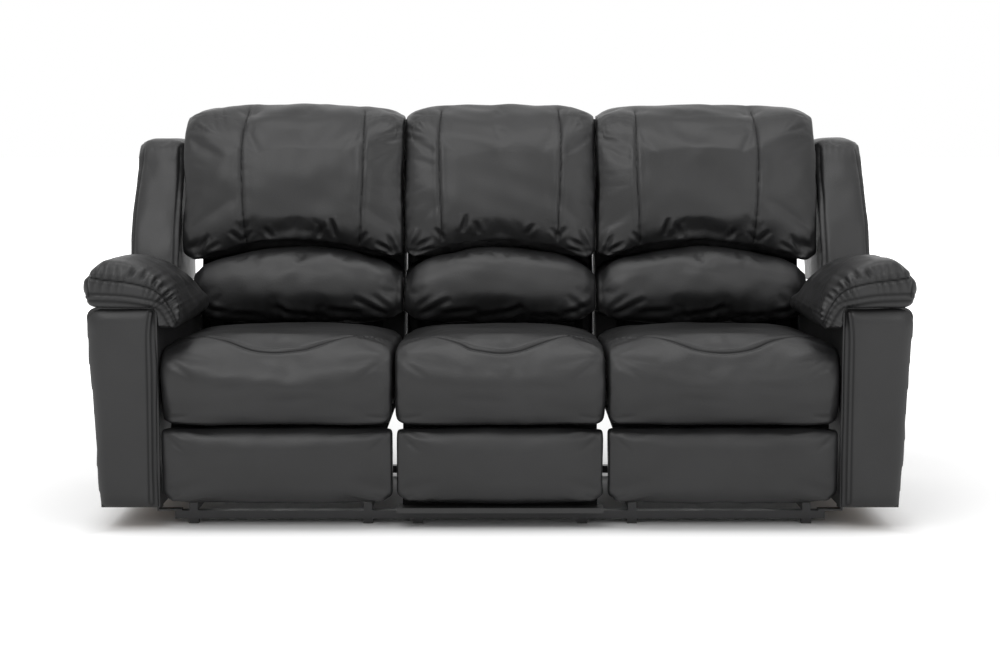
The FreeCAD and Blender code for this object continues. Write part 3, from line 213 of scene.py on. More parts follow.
def lining():
    """Black non-woven lining cloth, stapled over the boards that stand close behind the leather."""
    material, tree, shader = new_material("black lining cloth")
    place = object_place(tree)
    felt = add(tree, "ShaderNodeTexNoise", {"Vector": place, "Scale": 700.0, "Detail": 4.0})
    wide = use_group(tree, haze, {"Vector": place, "Size": 9.0})["Mask"]
    tree.links.new(ramp(tree, wide, 0.3, 0.7, ((0.006, 0.006, 0.006), (0.011, 0.011, 0.011))),
                   shader.inputs["Base Color"])
    shader.inputs["Roughness"].default_value = 0.95
    shader.inputs["Specular IOR Level"].default_value = 0.15
    bumped(tree, shader, felt.outputs["Fac"], 0.0003)
    return material


ply = plywood()
cloth_lining = lining()
strap = elastic()
finished(cloth_lining, "middle_seat_frame", "middle_back_frame", "middle_panel_board")
finished(strap, "middle_seat_webbing")
for side in SIDES:
    finished(ply, f"{side}_arm_frame")
    finished(cloth_lining, *[f"{side}_{part}" for part in ("seat_frame", "back_frame", "footrest_frame")])
    finished(strap, f"{side}_seat_webbing")


# Leather over the arms
# Bonded leather with a fine pebble grain is stretched over the arms' boards and sewn along its
# edges. Its creases are given painted shade, darker and less reflective than its crowns.

hide, hide_in, hide_out = new_group(
    "Pebbled hide", [("Vector", "Vector"), ("Cells per metre", "Float"), ("Warp", "Float")],
    [("Height", "Float"), ("Tone", "Float")])
hide_warp = add(hide, "ShaderNodeTexNoise", {"Vector": hide_in["Vector"], "Scale": 90.0, "Detail": 2.0})
hide_shift = add(hide, "ShaderNodeVectorMath", {0: hide_warp.outputs["Color"], "Scale": hide_in["Warp"]},
                 operation="SCALE")
hide_place = add(hide, "ShaderNodeVectorMath", {0: hide_in["Vector"], 1: hide_shift.outputs["Vector"]})
hide_cell = add(hide, "ShaderNodeTexVoronoi", {"Vector": hide_place.outputs["Vector"],
                                               "Scale": hide_in["Cells per metre"], "Smoothness": 0.4},
                feature="SMOOTH_F1")
hide_fold = add(hide, "ShaderNodeTexNoise", {"Vector": hide_in["Vector"], "Scale": 210.0, "Detail": 3.0})
hide_both = add(hide, "ShaderNodeMath", {0: hide_cell.outputs["Distance"], 1: -0.8,
                                         2: hide_fold.outputs["Fac"]}, operation="MULTIPLY_ADD")
hide_cloud = add(hide, "ShaderNodeTexNoise", {"Vector": hide_in["Vector"], "Scale": 5.0, "Detail": 3.0})
hide.links.new(hide_both.outputs["Value"], hide_out["Height"])
hide.links.new(hide_cloud.outputs["Fac"], hide_out["Tone"])


def leather(name, dark, light, roughness):
    """Black leather: cloudy between two tones, with painted shade where it is creased: darker, duller and
    less reflective there.
    """
    material, tree, shader = new_material(name)
    place = object_place(tree)
    grain = use_group(tree, hide, {"Vector": place, "Cells per metre": 620.0, "Warp": 0.003})
    crease_shade = add(tree, "ShaderNodeAttribute", attribute_name="crease_shade").outputs["Fac"]
    cloudy = ramp(tree, grain["Tone"], 0.35, 0.65, (dark, light))
    # Painted shade: where crease_shade is high the colour goes towards near black
    pressed = add(tree, "ShaderNodeMix", {0: crease_shade, 6: cloudy, 7: (0.0022, 0.0022, 0.0024, 1)},
                  data_type="RGBA")
    tree.links.new(pressed.outputs[2], shader.inputs["Base Color"])
    rough = add(tree, "ShaderNodeMapRange", {"Value": grain["Tone"], "From Min": 0.3, "From Max": 0.7,
                                             "To Min": roughness - 0.05, "To Max": roughness + 0.06})
    duller = add(tree, "ShaderNodeMath", {0: crease_shade, 1: 0.2, 2: rough.outputs["Result"]},
                 operation="MULTIPLY_ADD")
    tree.links.new(duller.outputs["Value"], shader.inputs["Roughness"])
    # Painted shade: the reflection is weaker in the creases
    less = add(tree, "ShaderNodeMath", {0: crease_shade, 1: -0.34, 2: 0.42}, operation="MULTIPLY_ADD")
    tree.links.new(less.outputs["Value"], shader.inputs["Specular IOR Level"])
    bumped(tree, shader, grain["Height"], 0.00022)
    return material


soft_leather = leather("black leather", (0.0085, 0.0085, 0.0088), (0.0145, 0.0145, 0.015), 0.4)
flat_leather = leather("black leather over card", (0.008, 0.008, 0.0083), (0.013, 0.013, 0.0134), 0.44)
for side in SIDES:
    finished(flat_leather, f"{side}_arm_cover", f"{side}_back_cover")
    finished(black_plastic, f"{side}_release_cup", f"{side}_release_handle")
finished(flat_leather, "middle_back_cover")


# Seat cushions and footrest panels
# Foam blocks under sewn leather, glued at the lip. Each is blown up from its solid like a cushion
# in its cover, held where it rests or is sewn, and then its seams and pulls are pressed in.

VOXEL = 0.0071
PRESSURE = 4.0
LAST_FRAME = 20
PROUD = 0.006
BESIDE_ARM = 0.0022


def linked(name, mesh):
    """A mesh as an object in the scene."""
    piece = bpy.data.objects.new(name, mesh)
    bpy.context.scene.collection.objects.link(piece)
    return piece


def baked(piece):
    """The piece's mesh with its modifiers applied."""
    depsgraph = bpy.context.evaluated_depsgraph_get()
    mesh = bpy.data.meshes.new_from_object(piece.evaluated_get(depsgraph))
    piece.modifiers.clear()
    piece.data = mesh
    return piece


def points_of(mesh):
    """Places and normals of a mesh's points, as arrays."""
    places = np.empty(len(mesh.vertices) * 3, np.float32)
    normals = np.empty(len(mesh.vertices) * 3, np.float32)
    mesh.vertices.foreach_get("co", places)
    mesh.vertex_normals.foreach_get("vector", normals)
    return places.reshape(-1, 3).astype(float), normals.reshape(-1, 3).astype(float)


def put(mesh, places):
    """Move a mesh's points to these places."""
    mesh.vertices.foreach_set("co", places.astype(np.float32).ravel())
    mesh.update()


def solid_copy(node, relax):
    """A closed, evenly meshed copy of a CAD solid, its edges eased by relax passes."""
    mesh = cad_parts[node].data.copy()
    mesh.materials.clear()
    form = bmesh.new()
    form.from_mesh(mesh)
    bmesh.ops.remove_doubles(form, verts=form.verts, dist=1e-5)
    bmesh.ops.recalc_face_normals(form, faces=form.faces)
    form.to_mesh(mesh)
    form.free()
    piece = linked(node + "_leather", mesh)
    remesh = piece.modifiers.new("Even mesh", "REMESH")
    remesh.mode = "VOXEL"
    remesh.voxel_size = VOXEL
    ease = piece.modifiers.new("Eased", "SMOOTH")
    ease.iterations = relax
    return baked(piece)


def blown(pieces, held, shrink, blow):
    """Swell the pieces at once, each under its own pressure and held at its sewn points."""
    for piece in pieces:
        places, normals = points_of(piece.data)
        fixed = held(places, normals)
        put(piece.data, places - normals * (shrink * (1 - fixed))[:, None])
        sewn = piece.vertex_groups.new(name="sewn")
        sewn.add([int(index) for index in np.nonzero(fixed)[0]], 1.0, "REPLACE")
        cloth = piece.modifiers.new("Cover", "CLOTH")
        cloth.settings.use_pressure = True
        cloth.settings.uniform_pressure_force = PRESSURE
        cloth.settings.effector_weights.gravity = 0.0
        cloth.settings.quality = 4
        cloth.settings.vertex_group_mass = "sewn"
        cloth.collision_settings.use_collision = False
    for number in range(1, LAST_FRAME + 1):
        bpy.context.scene.frame_set(number)
    depsgraph = bpy.context.evaluated_depsgraph_get()
    for piece in pieces:
        swollen, _ = points_of(piece.evaluated_get(depsgraph).data)
        before, _ = points_of(piece.data)
        move = swollen - before
        move *= np.minimum(1, blow / np.maximum(np.linalg.norm(move, axis=1), 1e-9))[:, None]
        piece.modifiers.clear()
        piece.vertex_groups.clear()
        put(piece.data, before + move)
    bpy.context.scene.frame_set(1)


def half_of(node):
    """The middle and half of a piece's width, and its box, all as they are on the right."""
    low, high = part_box(node.replace("left_", "right_"))
    return (low[0] + high[0]) / 2, (high[0] - low[0]) / 2, low, high


def shaped(nodes, held, relax=2, side_room=0.0025, shrink=0.006, blow=0.015, settle=3):
    """Padded pieces made from CAD solids: the right hand ones are also mirrored to the left."""
    pieces = {node: solid_copy(node, relax) for node in nodes}
    blown(list(pieces.values()), held, shrink, blow)
    for node, piece in list(pieces.items()):
        low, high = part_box(node)
        inner = np.array([side_room, PROUD, PROUD])
        outer = np.array([side_room if node.startswith("middle_") else BESIDE_ARM, PROUD, PROUD])
        places, _ = points_of(piece.data)
        put(piece.data, np.clip(places, np.array(low) - inner, np.array(high) + outer))
        rest = piece.modifiers.new("Settled", "SMOOTH")
        rest.iterations = settle
        finer = piece.modifiers.new("Finer", "SUBSURF")
        finer.levels = finer.render_levels = 1
        baked(piece)
        if node.startswith("right_"):
            mesh = piece.data.copy()
            mesh.transform(Matrix.Scale(-1, 4, (1, 0, 0)))
            mesh.flip_normals()
            twin = node.replace("right_", "left_")
            pieces[twin] = linked(twin + "_leather", mesh)
    return pieces


def smooth(low, high, value):
    """From 0 at low to 1 at high, eased at both ends."""
    share = np.clip((value - low) / (high - low), 0, 1)
    return share * share * (3 - 2 * share)


def line_gap(points, path):
    """Distance of each point from a path, and how far along the path that is."""
    best = np.full(len(points), 9.0)
    along = np.zeros(len(points))
    run = 0.0
    for start, end in zip(path, path[1:]):
        start, end = np.array(start, float), np.array(end, float)
        reach = end - start
        length = float(np.linalg.norm(reach))
        share = np.clip((points - start) @ reach / length ** 2, 0, 1)
        gap = np.linalg.norm(points - start - share[:, None] * reach, axis=1)
        near = gap < best
        best[near] = gap[near]
        along[near] = run + share[near] * length
        run += length
    return best, along


def curve(points, steps=10):
    """A smooth path through a few points."""
    points = [np.array(point, float) for point in points]
    points = [2 * points[0] - points[1], *points, 2 * points[-1] - points[-2]]
    path = []
    for a, b, c, d in zip(points, points[1:], points[2:], points[3:]):
        for step in range(steps):
            t = step / steps
            path.append(tuple(0.5 * (2 * b + (c - a) * t + (2 * a - 5 * b + 4 * c - d) * t * t
                                     + (3 * b - a - 3 * c + d) * t ** 3)))
    return path + [tuple(points[-2])]


# A view is the two axes that a path is drawn on, and the way from the piece to the eye
FRONT = ((0, 2), (0, -1, 0))
TOP = ((0, 1), (0, 0, 1))


class Dressing:
    """What is pressed into one padded piece, added up before its points move."""

    def __init__(self, node, piece):
        self.node, self.piece = node, piece
        self.places, self.normals = points_of(piece.data)
        self.rise = np.zeros(len(self.places))
        # crease_shade holds the painted shade of each point, for grooves and the hollows of folds
        self.crease_shade = np.zeros(len(self.places))
        self.random = np.random.RandomState(sum(map(ord, node)))
        self.sign = -1 if node.startswith("left_") else 1

    def near(self, view, path):
        """Distance to the path, distance along it and how far each point faces the view."""
        axes, way = view
        path = [(self.sign * across, other) for across, other in path]
        gap, along = line_gap(self.places[:, axes], path)
        return gap, along, smooth(-0.1, 0.35, self.normals @ np.array(way, float))

    def seam(self, view, path, depth=0.0022, width=0.0034, dark=0.85, swell=0.3):
        """A sewn line: a narrow groove with the leather swelling beside it, and painted shade in the groove.
        """
        gap, _, seen = self.near(view, path)
        self.rise -= seen * depth * np.exp(-(gap / width) ** 2)
        self.rise += seen * depth * swell * np.exp(-((gap - 3 * width) / (2 * width)) ** 2)
        self.crease_shade = np.maximum(self.crease_shade, dark * seen * np.exp(-(gap / (0.55 * width)) ** 2))

    def piping(self, view, path, height=0.002, width=0.0032):
        """A covered cord sewn in, with the leather pulled down on both sides of it and painted shade in those
        hollows.
        """
        gap, _, seen = self.near(view, path)
        beside = np.exp(-((gap - 2.3 * width) / width) ** 2)
        self.rise += seen * height * (np.exp(-(gap / width) ** 2) - 0.8 * beside)
        self.crease_shade = np.maximum(self.crease_shade, 0.6 * seen * beside)

    def gathers(self, view, path, pitch, depth, reach, dark=0.4):
        """Puckers across a seam, uneven in pitch and fading away from it, with painted shade in their
        hollows.
        """
        gap, along, seen = self.near(view, path)
        drift = sum(self.random.uniform(0.15, 0.5)
                    * np.sin(along / (pitch * longer) + self.random.uniform(0, 6.3))
                    for longer in (0.9, 1.7, 3.1))
        wave = np.sin(2 * math.pi * along / pitch + 2.2 * drift)
        fold = np.sign(wave) * np.abs(wave) ** 0.7
        total = sum(math.dist(a, b) for a, b in zip(path, path[1:]))
        ends = smooth(0, 0.15 * total, along) * smooth(0, 0.15 * total, total - along)
        strength = ends * (0.6 + 0.4 * np.sin(along / (2.3 * pitch) + self.random.uniform(0, 6.3)))
        fade = np.exp(-(gap / reach) ** 1.4) * smooth(0, 0.004, gap)
        self.rise += seen * depth * fold * strength * fade
        self.crease_shade = np.maximum(self.crease_shade, dark * seen * fade * np.clip(-fold, 0, 1) * strength)

    def pull(self, view, path, depth=0.003, width=0.007, dark=0.5):
        """A single soft wrinkle, deepest in its middle, with painted shade along its groove."""
        gap, along, seen = self.near(view, path)
        total = sum(math.dist(a, b) for a, b in zip(path, path[1:]))
        taper = np.sin(math.pi * np.clip(along / total, 0, 1)) ** 0.6
        self.rise += seen * taper * depth * (0.6 * np.exp(-((gap - 1.8 * width) / width) ** 2)
                                             - np.exp(-(gap / width) ** 2))
        self.crease_shade = np.maximum(self.crease_shade, dark * seen * taper * np.exp(-(gap / (0.6 * width)) ** 2))

    def slack(self, height, lengths=(0.05, 0.09, 0.16)):
        """The uneven lie of soft leather over its filling."""
        for length in lengths:
            for _ in range(5):
                way = self.random.normal(size=3)
                way /= np.linalg.norm(way)
                self.rise += height * length / 0.16 / 5 ** 0.5 * np.sin(
                    self.places @ way * 2 * math.pi / length + self.random.uniform(0, 6.3))

    def moved(self):
        """Where the piece's points go."""
        return self.places + self.normals * self.rise[:, None]

    def laid(self, places, body, fill):
        """Move the points, store their painted crease shade and give the piece its leather and its body."""
        mesh = self.piece.data
        put(mesh, places)
        mark = mesh.attributes.new("crease_shade", "FLOAT", "POINT")
        mark.data.foreach_set("value", np.clip(self.crease_shade, 0, 1).astype(np.float32))
        mesh.materials.clear()
        mesh.materials.append(soft_leather)
        mesh.shade_smooth()
        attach(self.piece, body)

    def done(self, body, fill):
        """Finish a piece that stands for its CAD solid, no wider than it was blown."""
        places = self.moved()
        places[:, 0] = np.clip(places[:, 0], self.places[:, 0].min(), self.places[:, 0].max())
        self.laid(places, body, fill)
        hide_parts(self.node)


def body_of(node, part):
    """The body that a piece rides on: the middle seat is part of the base."""
    return "base" if node.startswith("middle_") else node.split("_")[0] + "_" + part


def stitch_group():
    """Stitches along the edges of a mesh: pitch, length and thickness are its inputs."""
    tree = bpy.data.node_groups.new("Stitching", "GeometryNodeTree")
    tree.interface.new_socket("Geometry", in_out="INPUT", socket_type="NodeSocketGeometry")
    for label, value in (("Pitch", 0.0062), ("Stitch length", 0.0046), ("Thread", 0.0009)):
        tree.interface.new_socket(label, in_out="INPUT", socket_type="NodeSocketFloat").default_value = value
    tree.interface.new_socket("Material", in_out="INPUT", socket_type="NodeSocketMaterial")
    tree.interface.new_socket("Geometry", in_out="OUTPUT", socket_type="NodeSocketGeometry")
    given = tree.nodes.new("NodeGroupInput").outputs
    lines = add(tree, "GeometryNodeMeshToCurve", {"Mesh": given["Geometry"]})
    places = add(tree, "GeometryNodeCurveToPoints", {"Curve": lines.outputs["Curve"],
                                                     "Length": given["Pitch"]}, mode="LENGTH")
    bead = add(tree, "GeometryNodeMeshUVSphere", {"Segments": 6, "Rings": 5, "Radius": 0.5})
    scale = add(tree, "ShaderNodeCombineXYZ", {"X": given["Thread"], "Y": given["Thread"],
                                               "Z": given["Stitch length"]})
    laid = add(tree, "GeometryNodeInstanceOnPoints", {
        "Points": places.outputs["Points"], "Instance": bead.outputs["Mesh"],
        "Rotation": places.outputs["Rotation"], "Scale": scale.outputs["Vector"]})
    real = add(tree, "GeometryNodeRealizeInstances", {"Geometry": laid.outputs["Instances"]})
    painted = add(tree, "GeometryNodeSetMaterial", {"Geometry": real.outputs["Geometry"],
                                                    "Material": given["Material"]})
    tree.links.new(painted.outputs["Geometry"], tree.nodes.new("NodeGroupOutput").inputs["Geometry"])
    return tree


thread = coat("black thread", (0.014, 0.014, 0.015), 0.6, 0.00002, 3000.0)
stitching = stitch_group()
sewing = {}
EYE = 2.0
THREAD_LIFT = 0.0003


def stitched(look, body, view, path):
    """Remember a line of stitches on a finished piece, found by looking along the view."""
    axes, way = view
    places, _ = points_of(look.piece.data)
    tree = BVHTree.FromPolygons([tuple(place) for place in places],
                                [tuple(face.vertices) for face in look.piece.data.polygons])
    line = []
    for across, other in path:
        start = Vector((look.sign * across, 0, 0))
        start[axes[1]] = other
        start += Vector(way) * EYE
        place, normal, _, _ = tree.ray_cast(start, -Vector(way))
        if place is not None:
            line.append(tuple(place + normal * THREAD_LIFT))
    sewing.setdefault(body, []).append(line)


def seat_held(places, normals):
    """A seat cushion is held below, at the rear and along its sides."""
    low, high = places.min(axis=0), places.max(axis=0)
    under = (normals[:, 2] < -0.4) & (places[:, 2] < low[2] + 0.06)
    rear = places[:, 1] > high[1] - 0.012
    ends = (places[:, 0] < low[0] + 0.004) | (places[:, 0] > high[0] - 0.004)
    return (under | rear | ends).astype(float)


def back_held(places, normals):
    """A pillow or panel is held on the board behind it and at its ends."""
    low, high = places.min(axis=0), places.max(axis=0)
    ends = (places[:, 0] < low[0] + 0.003) | (places[:, 0] > high[0] - 0.003)
    return ((normals[:, 1] > 0.35) | ends).astype(float)


for node, piece in shaped(("right_seat_cushion", "middle_seat_cushion"), seat_held, 6,
                          blow=0.012, settle=12).items():
    look = Dressing(node, piece)
    middle, half, _, _ = half_of(node)
    look.slack(0.0011)
    insert = [(middle + half * at, -0.418 + 0.135 * abs(at) ** 1.8)
              for at in np.linspace(-0.97, 0.97, 41)]
    look.seam(TOP, insert, 0.003, 0.0036, 0.95)
    for end in (-1, 1):
        near_end = [point for point in insert if (point[0] - middle) * end > 0.6 * half]
        look.gathers(TOP, near_end, 0.016, 0.0012, 0.022)
        corner = middle + end * half * 0.97
        for across, drop, depth in ((0.12, 0.02, 0.0008), (0.08, 0.06, 0.0009)):
            look.pull(FRONT, [(corner, 0.425), (corner - end * across, 0.425 - drop)],
                      depth, 0.008, 0.12)
        look.pull(FRONT, [(corner, 0.272), (corner - end * 0.06, 0.28)], 0.0012, 0.005, 0.25)
    look.pull(FRONT, [(middle - 0.12, 0.33), (middle + 0.03, 0.318)], 0.0009, 0.013, 0.1)
    look.pull(FRONT, [(middle + 0.05, 0.36), (middle + 0.16, 0.352)], 0.0009, 0.012, 0.1)
    look.done(body_of(node, "seat"), 0.8)
    for shift in (-0.0075, 0.0075):
        stitched(look, body_of(node, "seat"), TOP, [(x, y + shift) for x, y in insert[2:-2]])

for node, piece in shaped(("right_footrest_pad", "middle_front_panel"), back_held, 4, 0.0043,
                          blow=0.011, settle=8).items():
    look = Dressing(node, piece)
    middle, half, _, _ = half_of(node)
    look.slack(0.0009)
    for end in (-1, 1):
        corner = middle + end * half * 0.965
        for across, rise, depth in ((0.07, -0.012, 0.001), (0.05, -0.045, 0.0009)):
            look.pull(FRONT, [(corner, 0.238), (corner - end * across, 0.238 + rise)],
                      depth, 0.007, 0.15)
        look.pull(FRONT, [(corner, 0.075), (corner - end * 0.04, 0.09)], 0.0008, 0.006, 0.15)
    look.done(body_of(node, "footrest"), 0.75)


# Back pillows and wings
# Fibre fill in sewn leather. The head pillow has two topstitched seams down its front and
# pinched lower corners, and the lumbar pillow is slack along its foot.

SEAM_INNER = 0.372
SEAM_OUTER = 0.681
SEAM_MIDDLE = 0.155
SEAM_LEAN = 0.008
BACK_EDGE = 0.817

for node, piece in shaped(("right_lumbar_pillow", "middle_lumbar_pillow"), back_held, 5).items():
    look = Dressing(node, piece)
    middle, half, low, _ = half_of(node)
    look.slack(0.0019, (0.06, 0.11, 0.18))
    for at, rise, run, lift, depth in (
            (-0.86, 0.02, 0.09, 0.045, 0.004), (-0.62, 0.022, 0.1, 0.012, 0.0034),
            (-0.3, 0.012, 0.12, 0.016, 0.003), (0.05, 0.02, 0.05, 0.026, 0.0046),
            (0.3, 0.014, 0.11, 0.006, 0.003), (0.66, 0.018, 0.08, 0.03, 0.0038)):
        start = (middle + half * at, low[2] + rise)
        look.pull(FRONT, [start, (start[0] + run, start[1] + lift)], depth, 0.0085, 0.55)
    for end in (-1, 1):
        corner = (middle + end * half * 0.965, low[2] + 0.016)
        for across, rise in ((0.1, 0.02), (0.07, 0.06)):
            look.pull(FRONT, [corner, (corner[0] - end * across, corner[1] + rise)],
                      0.0022, 0.008, 0.3)
    look.gathers(FRONT, [(middle - half * 0.9, low[2] + 0.012), (middle + half * 0.9, low[2] + 0.012)],
                 0.034, 0.0014, 0.03, 0.2)
    look.done(body_of(node, "back"), 0.55)

for node, piece in shaped(("right_head_pillow", "middle_head_pillow"), back_held, 14).items():
    look = Dressing(node, piece)
    _, _, low, high = half_of(node)
    is_middle = node.startswith("middle")
    seams = (-SEAM_MIDDLE, SEAM_MIDDLE) if is_middle else (SEAM_INNER, SEAM_OUTER)
    look.slack(0.0017, (0.06, 0.11, 0.2))
    outer = high[0] if is_middle else BACK_EDGE
    inner = low[0]
    centre, reach = (inner + outer) / 2, (outer - inner) / 2
    lines = []
    for seam in seams:
        tilt = SEAM_LEAN if seam > centre else -SEAM_LEAN
        foot = low[2] + 0.075 - 0.03 * abs(seam - centre) / reach
        lines.append(curve([(seam + tilt * 0.5, high[2] - 0.012), (seam + tilt, 0.87),
                            (seam - tilt * 0.3, foot)]))
        look.seam(FRONT, lines[-1], 0.0026, 0.0036, 0.9, 0.5)
        look.pull(FRONT, [(seam - 0.02, foot + 0.03), (seam + 0.004, foot + 0.002)], 0.003, 0.006, 0.5)
    arch = [(centre + reach * at, low[2] + 0.052 - 0.042 * at * at)
            for at in np.linspace(-0.9, 0.9, 15)]
    look.gathers(FRONT, arch, 0.045, 0.0013, 0.03, 0.2)
    for across, rise, run, lift, depth in (
            (-0.1, 0.075, 0.012, 0.05, 0.0055), (-0.055, 0.07, -0.01, 0.035, 0.004),
            (0.07, 0.068, 0.02, 0.03, 0.0032), (0.15, 0.06, 0.03, 0.03, 0.003)):
        start = (centre + across, low[2] + rise)
        look.pull(FRONT, [start, (start[0] + run, start[1] + lift)], depth, 0.007, 0.65)
    for end, edge in ((-1, inner), (1, outer)):
        ear = (edge - end * 0.012, low[2] + 0.02)
        for across, rise in ((0.07, 0.012), (0.06, 0.04), (0.03, 0.062)):
            look.pull(FRONT, [ear, (ear[0] - end * across, ear[1] + rise)], 0.0034, 0.006, 0.5)
        shoulder = [(edge - end * 0.012, high[2] - 0.1), (edge - end * 0.03, high[2] - 0.045),
                    (edge - end * 0.09, high[2] - 0.016)]
        look.gathers(FRONT, curve(shoulder), 0.022, 0.0016, 0.03, 0.25)
    look.done(body_of(node, "back"), 0.6)
    for line in lines:
        for shift in (-0.0062, 0.0062):
            stitched(look, body_of(node, "back"), FRONT, [(x + shift, z) for x, z in line])

for node, piece in shaped(("right_wing",), back_held, 6).items():
    look = Dressing(node, piece)
    low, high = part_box("right_wing")
    look.slack(0.0012)
    inner_seam = curve([(low[0] + 0.012, low[2] + 0.03), (low[0] + 0.012, 0.8),
                        (low[0] + 0.016, high[2] - 0.03)])
    look.seam(FRONT, inner_seam, 0.0018, 0.003, 0.6)
    outer_seam = curve([(high[0] - 0.009, low[2] + 0.03), (high[0] - 0.01, 0.8),
                        (high[0] - 0.016, high[2] - 0.035)])
    look.seam(FRONT, outer_seam, 0.0016, 0.003, 0.6)
    look.gathers(FRONT, [(low[0] + 0.02, high[2] - 0.02), (high[0] - 0.02, high[2] - 0.025)],
                 0.018, 0.0012, 0.02, 0.25)
    look.done("base", 0.75)


# Arm pads and arm fronts
# The pillow-topped pad is sewn with a boxing strip round its front, gathered above its upper
# seam and piped along the lower one. The arm's front is padded and piped at its inner edge.

def pad_held(places, normals):
    """An arm pad is held where it lies on the arm and at its rear."""
    high = places.max(axis=0)
    return ((normals[:, 2] < -0.3) | (places[:, 1] > high[1] - 0.01)).astype(float)


for node, piece in shaped(("right_arm_pad",), pad_held, 4, shrink=0.002, blow=0.01).items():
    look = Dressing(node, piece)
    look.slack(0.0016)
    upper = curve([(0.993, 0.617), (0.946, 0.608), (0.8865, 0.601), (0.8367, 0.589), (0.808, 0.572),
                   (0.787, 0.544), (0.774, 0.516), (0.768, 0.5)])
    lower = curve([(0.985, 0.566), (0.903, 0.563), (0.846, 0.5545), (0.813, 0.5455), (0.795, 0.526),
                   (0.783, 0.503), (0.779, 0.491)])
    look.seam(FRONT, upper, 0.0034, 0.004, 0.95, 0.6)
    look.piping(FRONT, lower, 0.0026, 0.0036)
    look.seam(FRONT, [(0.981, 0.612), (0.979, 0.568)], 0.002, 0.0034)
    look.gathers(FRONT, upper[:22], 0.017, 0.0024, 0.03, 0.4)
    look.gathers(FRONT, upper[26:58], 0.015, 0.0042, 0.032, 0.6)
    look.gathers(FRONT, upper[38:], 0.0125, 0.0052, 0.03, 0.7)
    look.gathers(FRONT, lower[20:], 0.011, 0.0022, 0.014, 0.4)
    for start, end in (((0.885, 0.61), (0.868, 0.638)), ((0.858, 0.605), (0.838, 0.632)),
                       ((0.83, 0.596), (0.808, 0.618)), ((0.806, 0.585), (0.785, 0.6))):
        look.pull(FRONT, [start, end], 0.0045, 0.0055, 0.6)
    look.done("base", 0.7)
    for shift in (-0.007, 0.007):
        stitched(look, "base", FRONT, [(x - 0.3 * shift, z + shift) for x, z in upper[:-4]])


FRONT_RINGS = 22
FRONT_SWELL = 0.0165
FRONT_VOXEL = 0.0036
GLUE_LINE = 0.0006
FRONT_LIMIT = -0.4452
FRONT_INNER = 0.822


def arm_outline(low, high):
    """Points round the front of the right arm, evenly spaced, with its corners rounded."""
    foot, top = low[2] + 0.001, high[2] - 0.002
    corners = [(Vector((FRONT_INNER, foot)), 0.004), (Vector((0.9625, foot)), 0.016),
               (Vector((0.9905, top)), 0.046), (Vector((FRONT_INNER, top)), 0.012)]
    rim = []
    for number, (corner, radius) in enumerate(corners):
        before = (corners[number - 1][0] - corner).normalized()
        after = (corners[(number + 1) % 4][0] - corner).normalized()
        start, end = corner + before * radius, corner + after * radius
        for turn in range(9):
            share = turn / 8
            rim.append(start.lerp(corner, share).lerp(corner.lerp(end, share), share))
    even = []
    for start, end in zip(rim, rim[1:] + rim[:1]):
        steps = max(1, round((end - start).length / 0.006))
        even += [start.lerp(end, step / steps) for step in range(steps)]
    return even


def arm_front(side):
    """A padded panel on the front of an arm: rings from its glued rear edge to its middle."""
    low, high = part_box(f"{side}_arm_cover")
    sign = 1 if side == "right" else -1
    face = low[1]
    outline = arm_outline(low, high)
    foot, head = Vector((0.897, 0.13)), Vector((0.905, 0.46))
    form = bmesh.new()
    rings = []
    for ring in range(-2, FRONT_RINGS):
        share = max(0, ring) / FRONT_RINGS
        depth = face - GLUE_LINE
        if ring == -2:
            depth = face - 0.0004
        if ring >= 0:
            depth -= FRONT_SWELL * (1 - (1 - min(1, share * 1.9)) ** 2.6) + 0.001
        points = []
        for point in outline:
            height = min(1, max(0, (point.y - foot.y) / (head.y - foot.y)))
            target = foot.lerp(head, height)
            place = point.lerp(target, share)
            if ring == -2:
                place = place.lerp(target, 0.002 / max(0.02, (point - target).length))
            points.append(form.verts.new((sign * place.x, depth, place.y)))
        rings.append(points)
    for outer, within in zip(rings, rings[1:]):
        for number in range(len(outline)):
            other = (number + 1) % len(outline)
            form.faces.new((outer[number], outer[other], within[other], within[number]))
    for points in (rings[0], rings[-1]):
        form.faces.new(points)
    bmesh.ops.recalc_face_normals(form, faces=form.faces)
    mesh = bpy.data.meshes.new("arm front")
    form.to_mesh(mesh)
    form.free()
    piece = linked(f"{side}_arm_front_padding", mesh)
    remesh = piece.modifiers.new("Even mesh", "REMESH")
    remesh.mode = "VOXEL"
    remesh.voxel_size = FRONT_VOXEL
    ease = piece.modifiers.new("Eased", "SMOOTH")
    ease.iterations = 3
    return baked(piece)


for side in SIDES:
    look = Dressing(f"{side}_arm_cover", arm_front(side))
    look.slack(0.0009, (0.08, 0.14, 0.25))
    look.piping(FRONT, curve([(0.838, 0.07), (0.838, 0.3), (0.8385, 0.46), (0.832, 0.528)]), 0.0014, 0.0024)
    look.places[:, 1] = np.minimum(look.places[:, 1], FRONT_LIMIT)
    places = look.moved()
    places[:, 1] = np.minimum(places[:, 1], FRONT_LIMIT)
    look.laid(places, "base", 0.8)


# Stitches
# Lock stitches of waxed thread along both sides of the seams. They are laid by one node group,
# a mesh of them for each body.

for body, lines in sewing.items():
    mesh = bpy.data.meshes.new("thread lines")
    points, edges = [], []
    for line in lines:
        edges += [(len(points) + number, len(points) + number + 1) for number in range(len(line) - 1)]
        points += line
    mesh.from_pydata(points, edges, [])
    stitches = linked(f"{body}_stitches", mesh)
    modifier = stitches.modifiers.new("Stitches", "NODES")
    modifier.node_group = stitching
    for item in stitching.interface.items_tree:
        if item.name == "Material":
            modifier[item.identifier] = thread
    baked(stitches)
    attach(stitches, body)


# Studio
# A pale floor that glows for the eye and for reflections and runs to white away from the sofa;
# its glow is weaker near the sofa and left out under it, a painted shadow added to the real one.
# Large soft lamps stand in front and above.

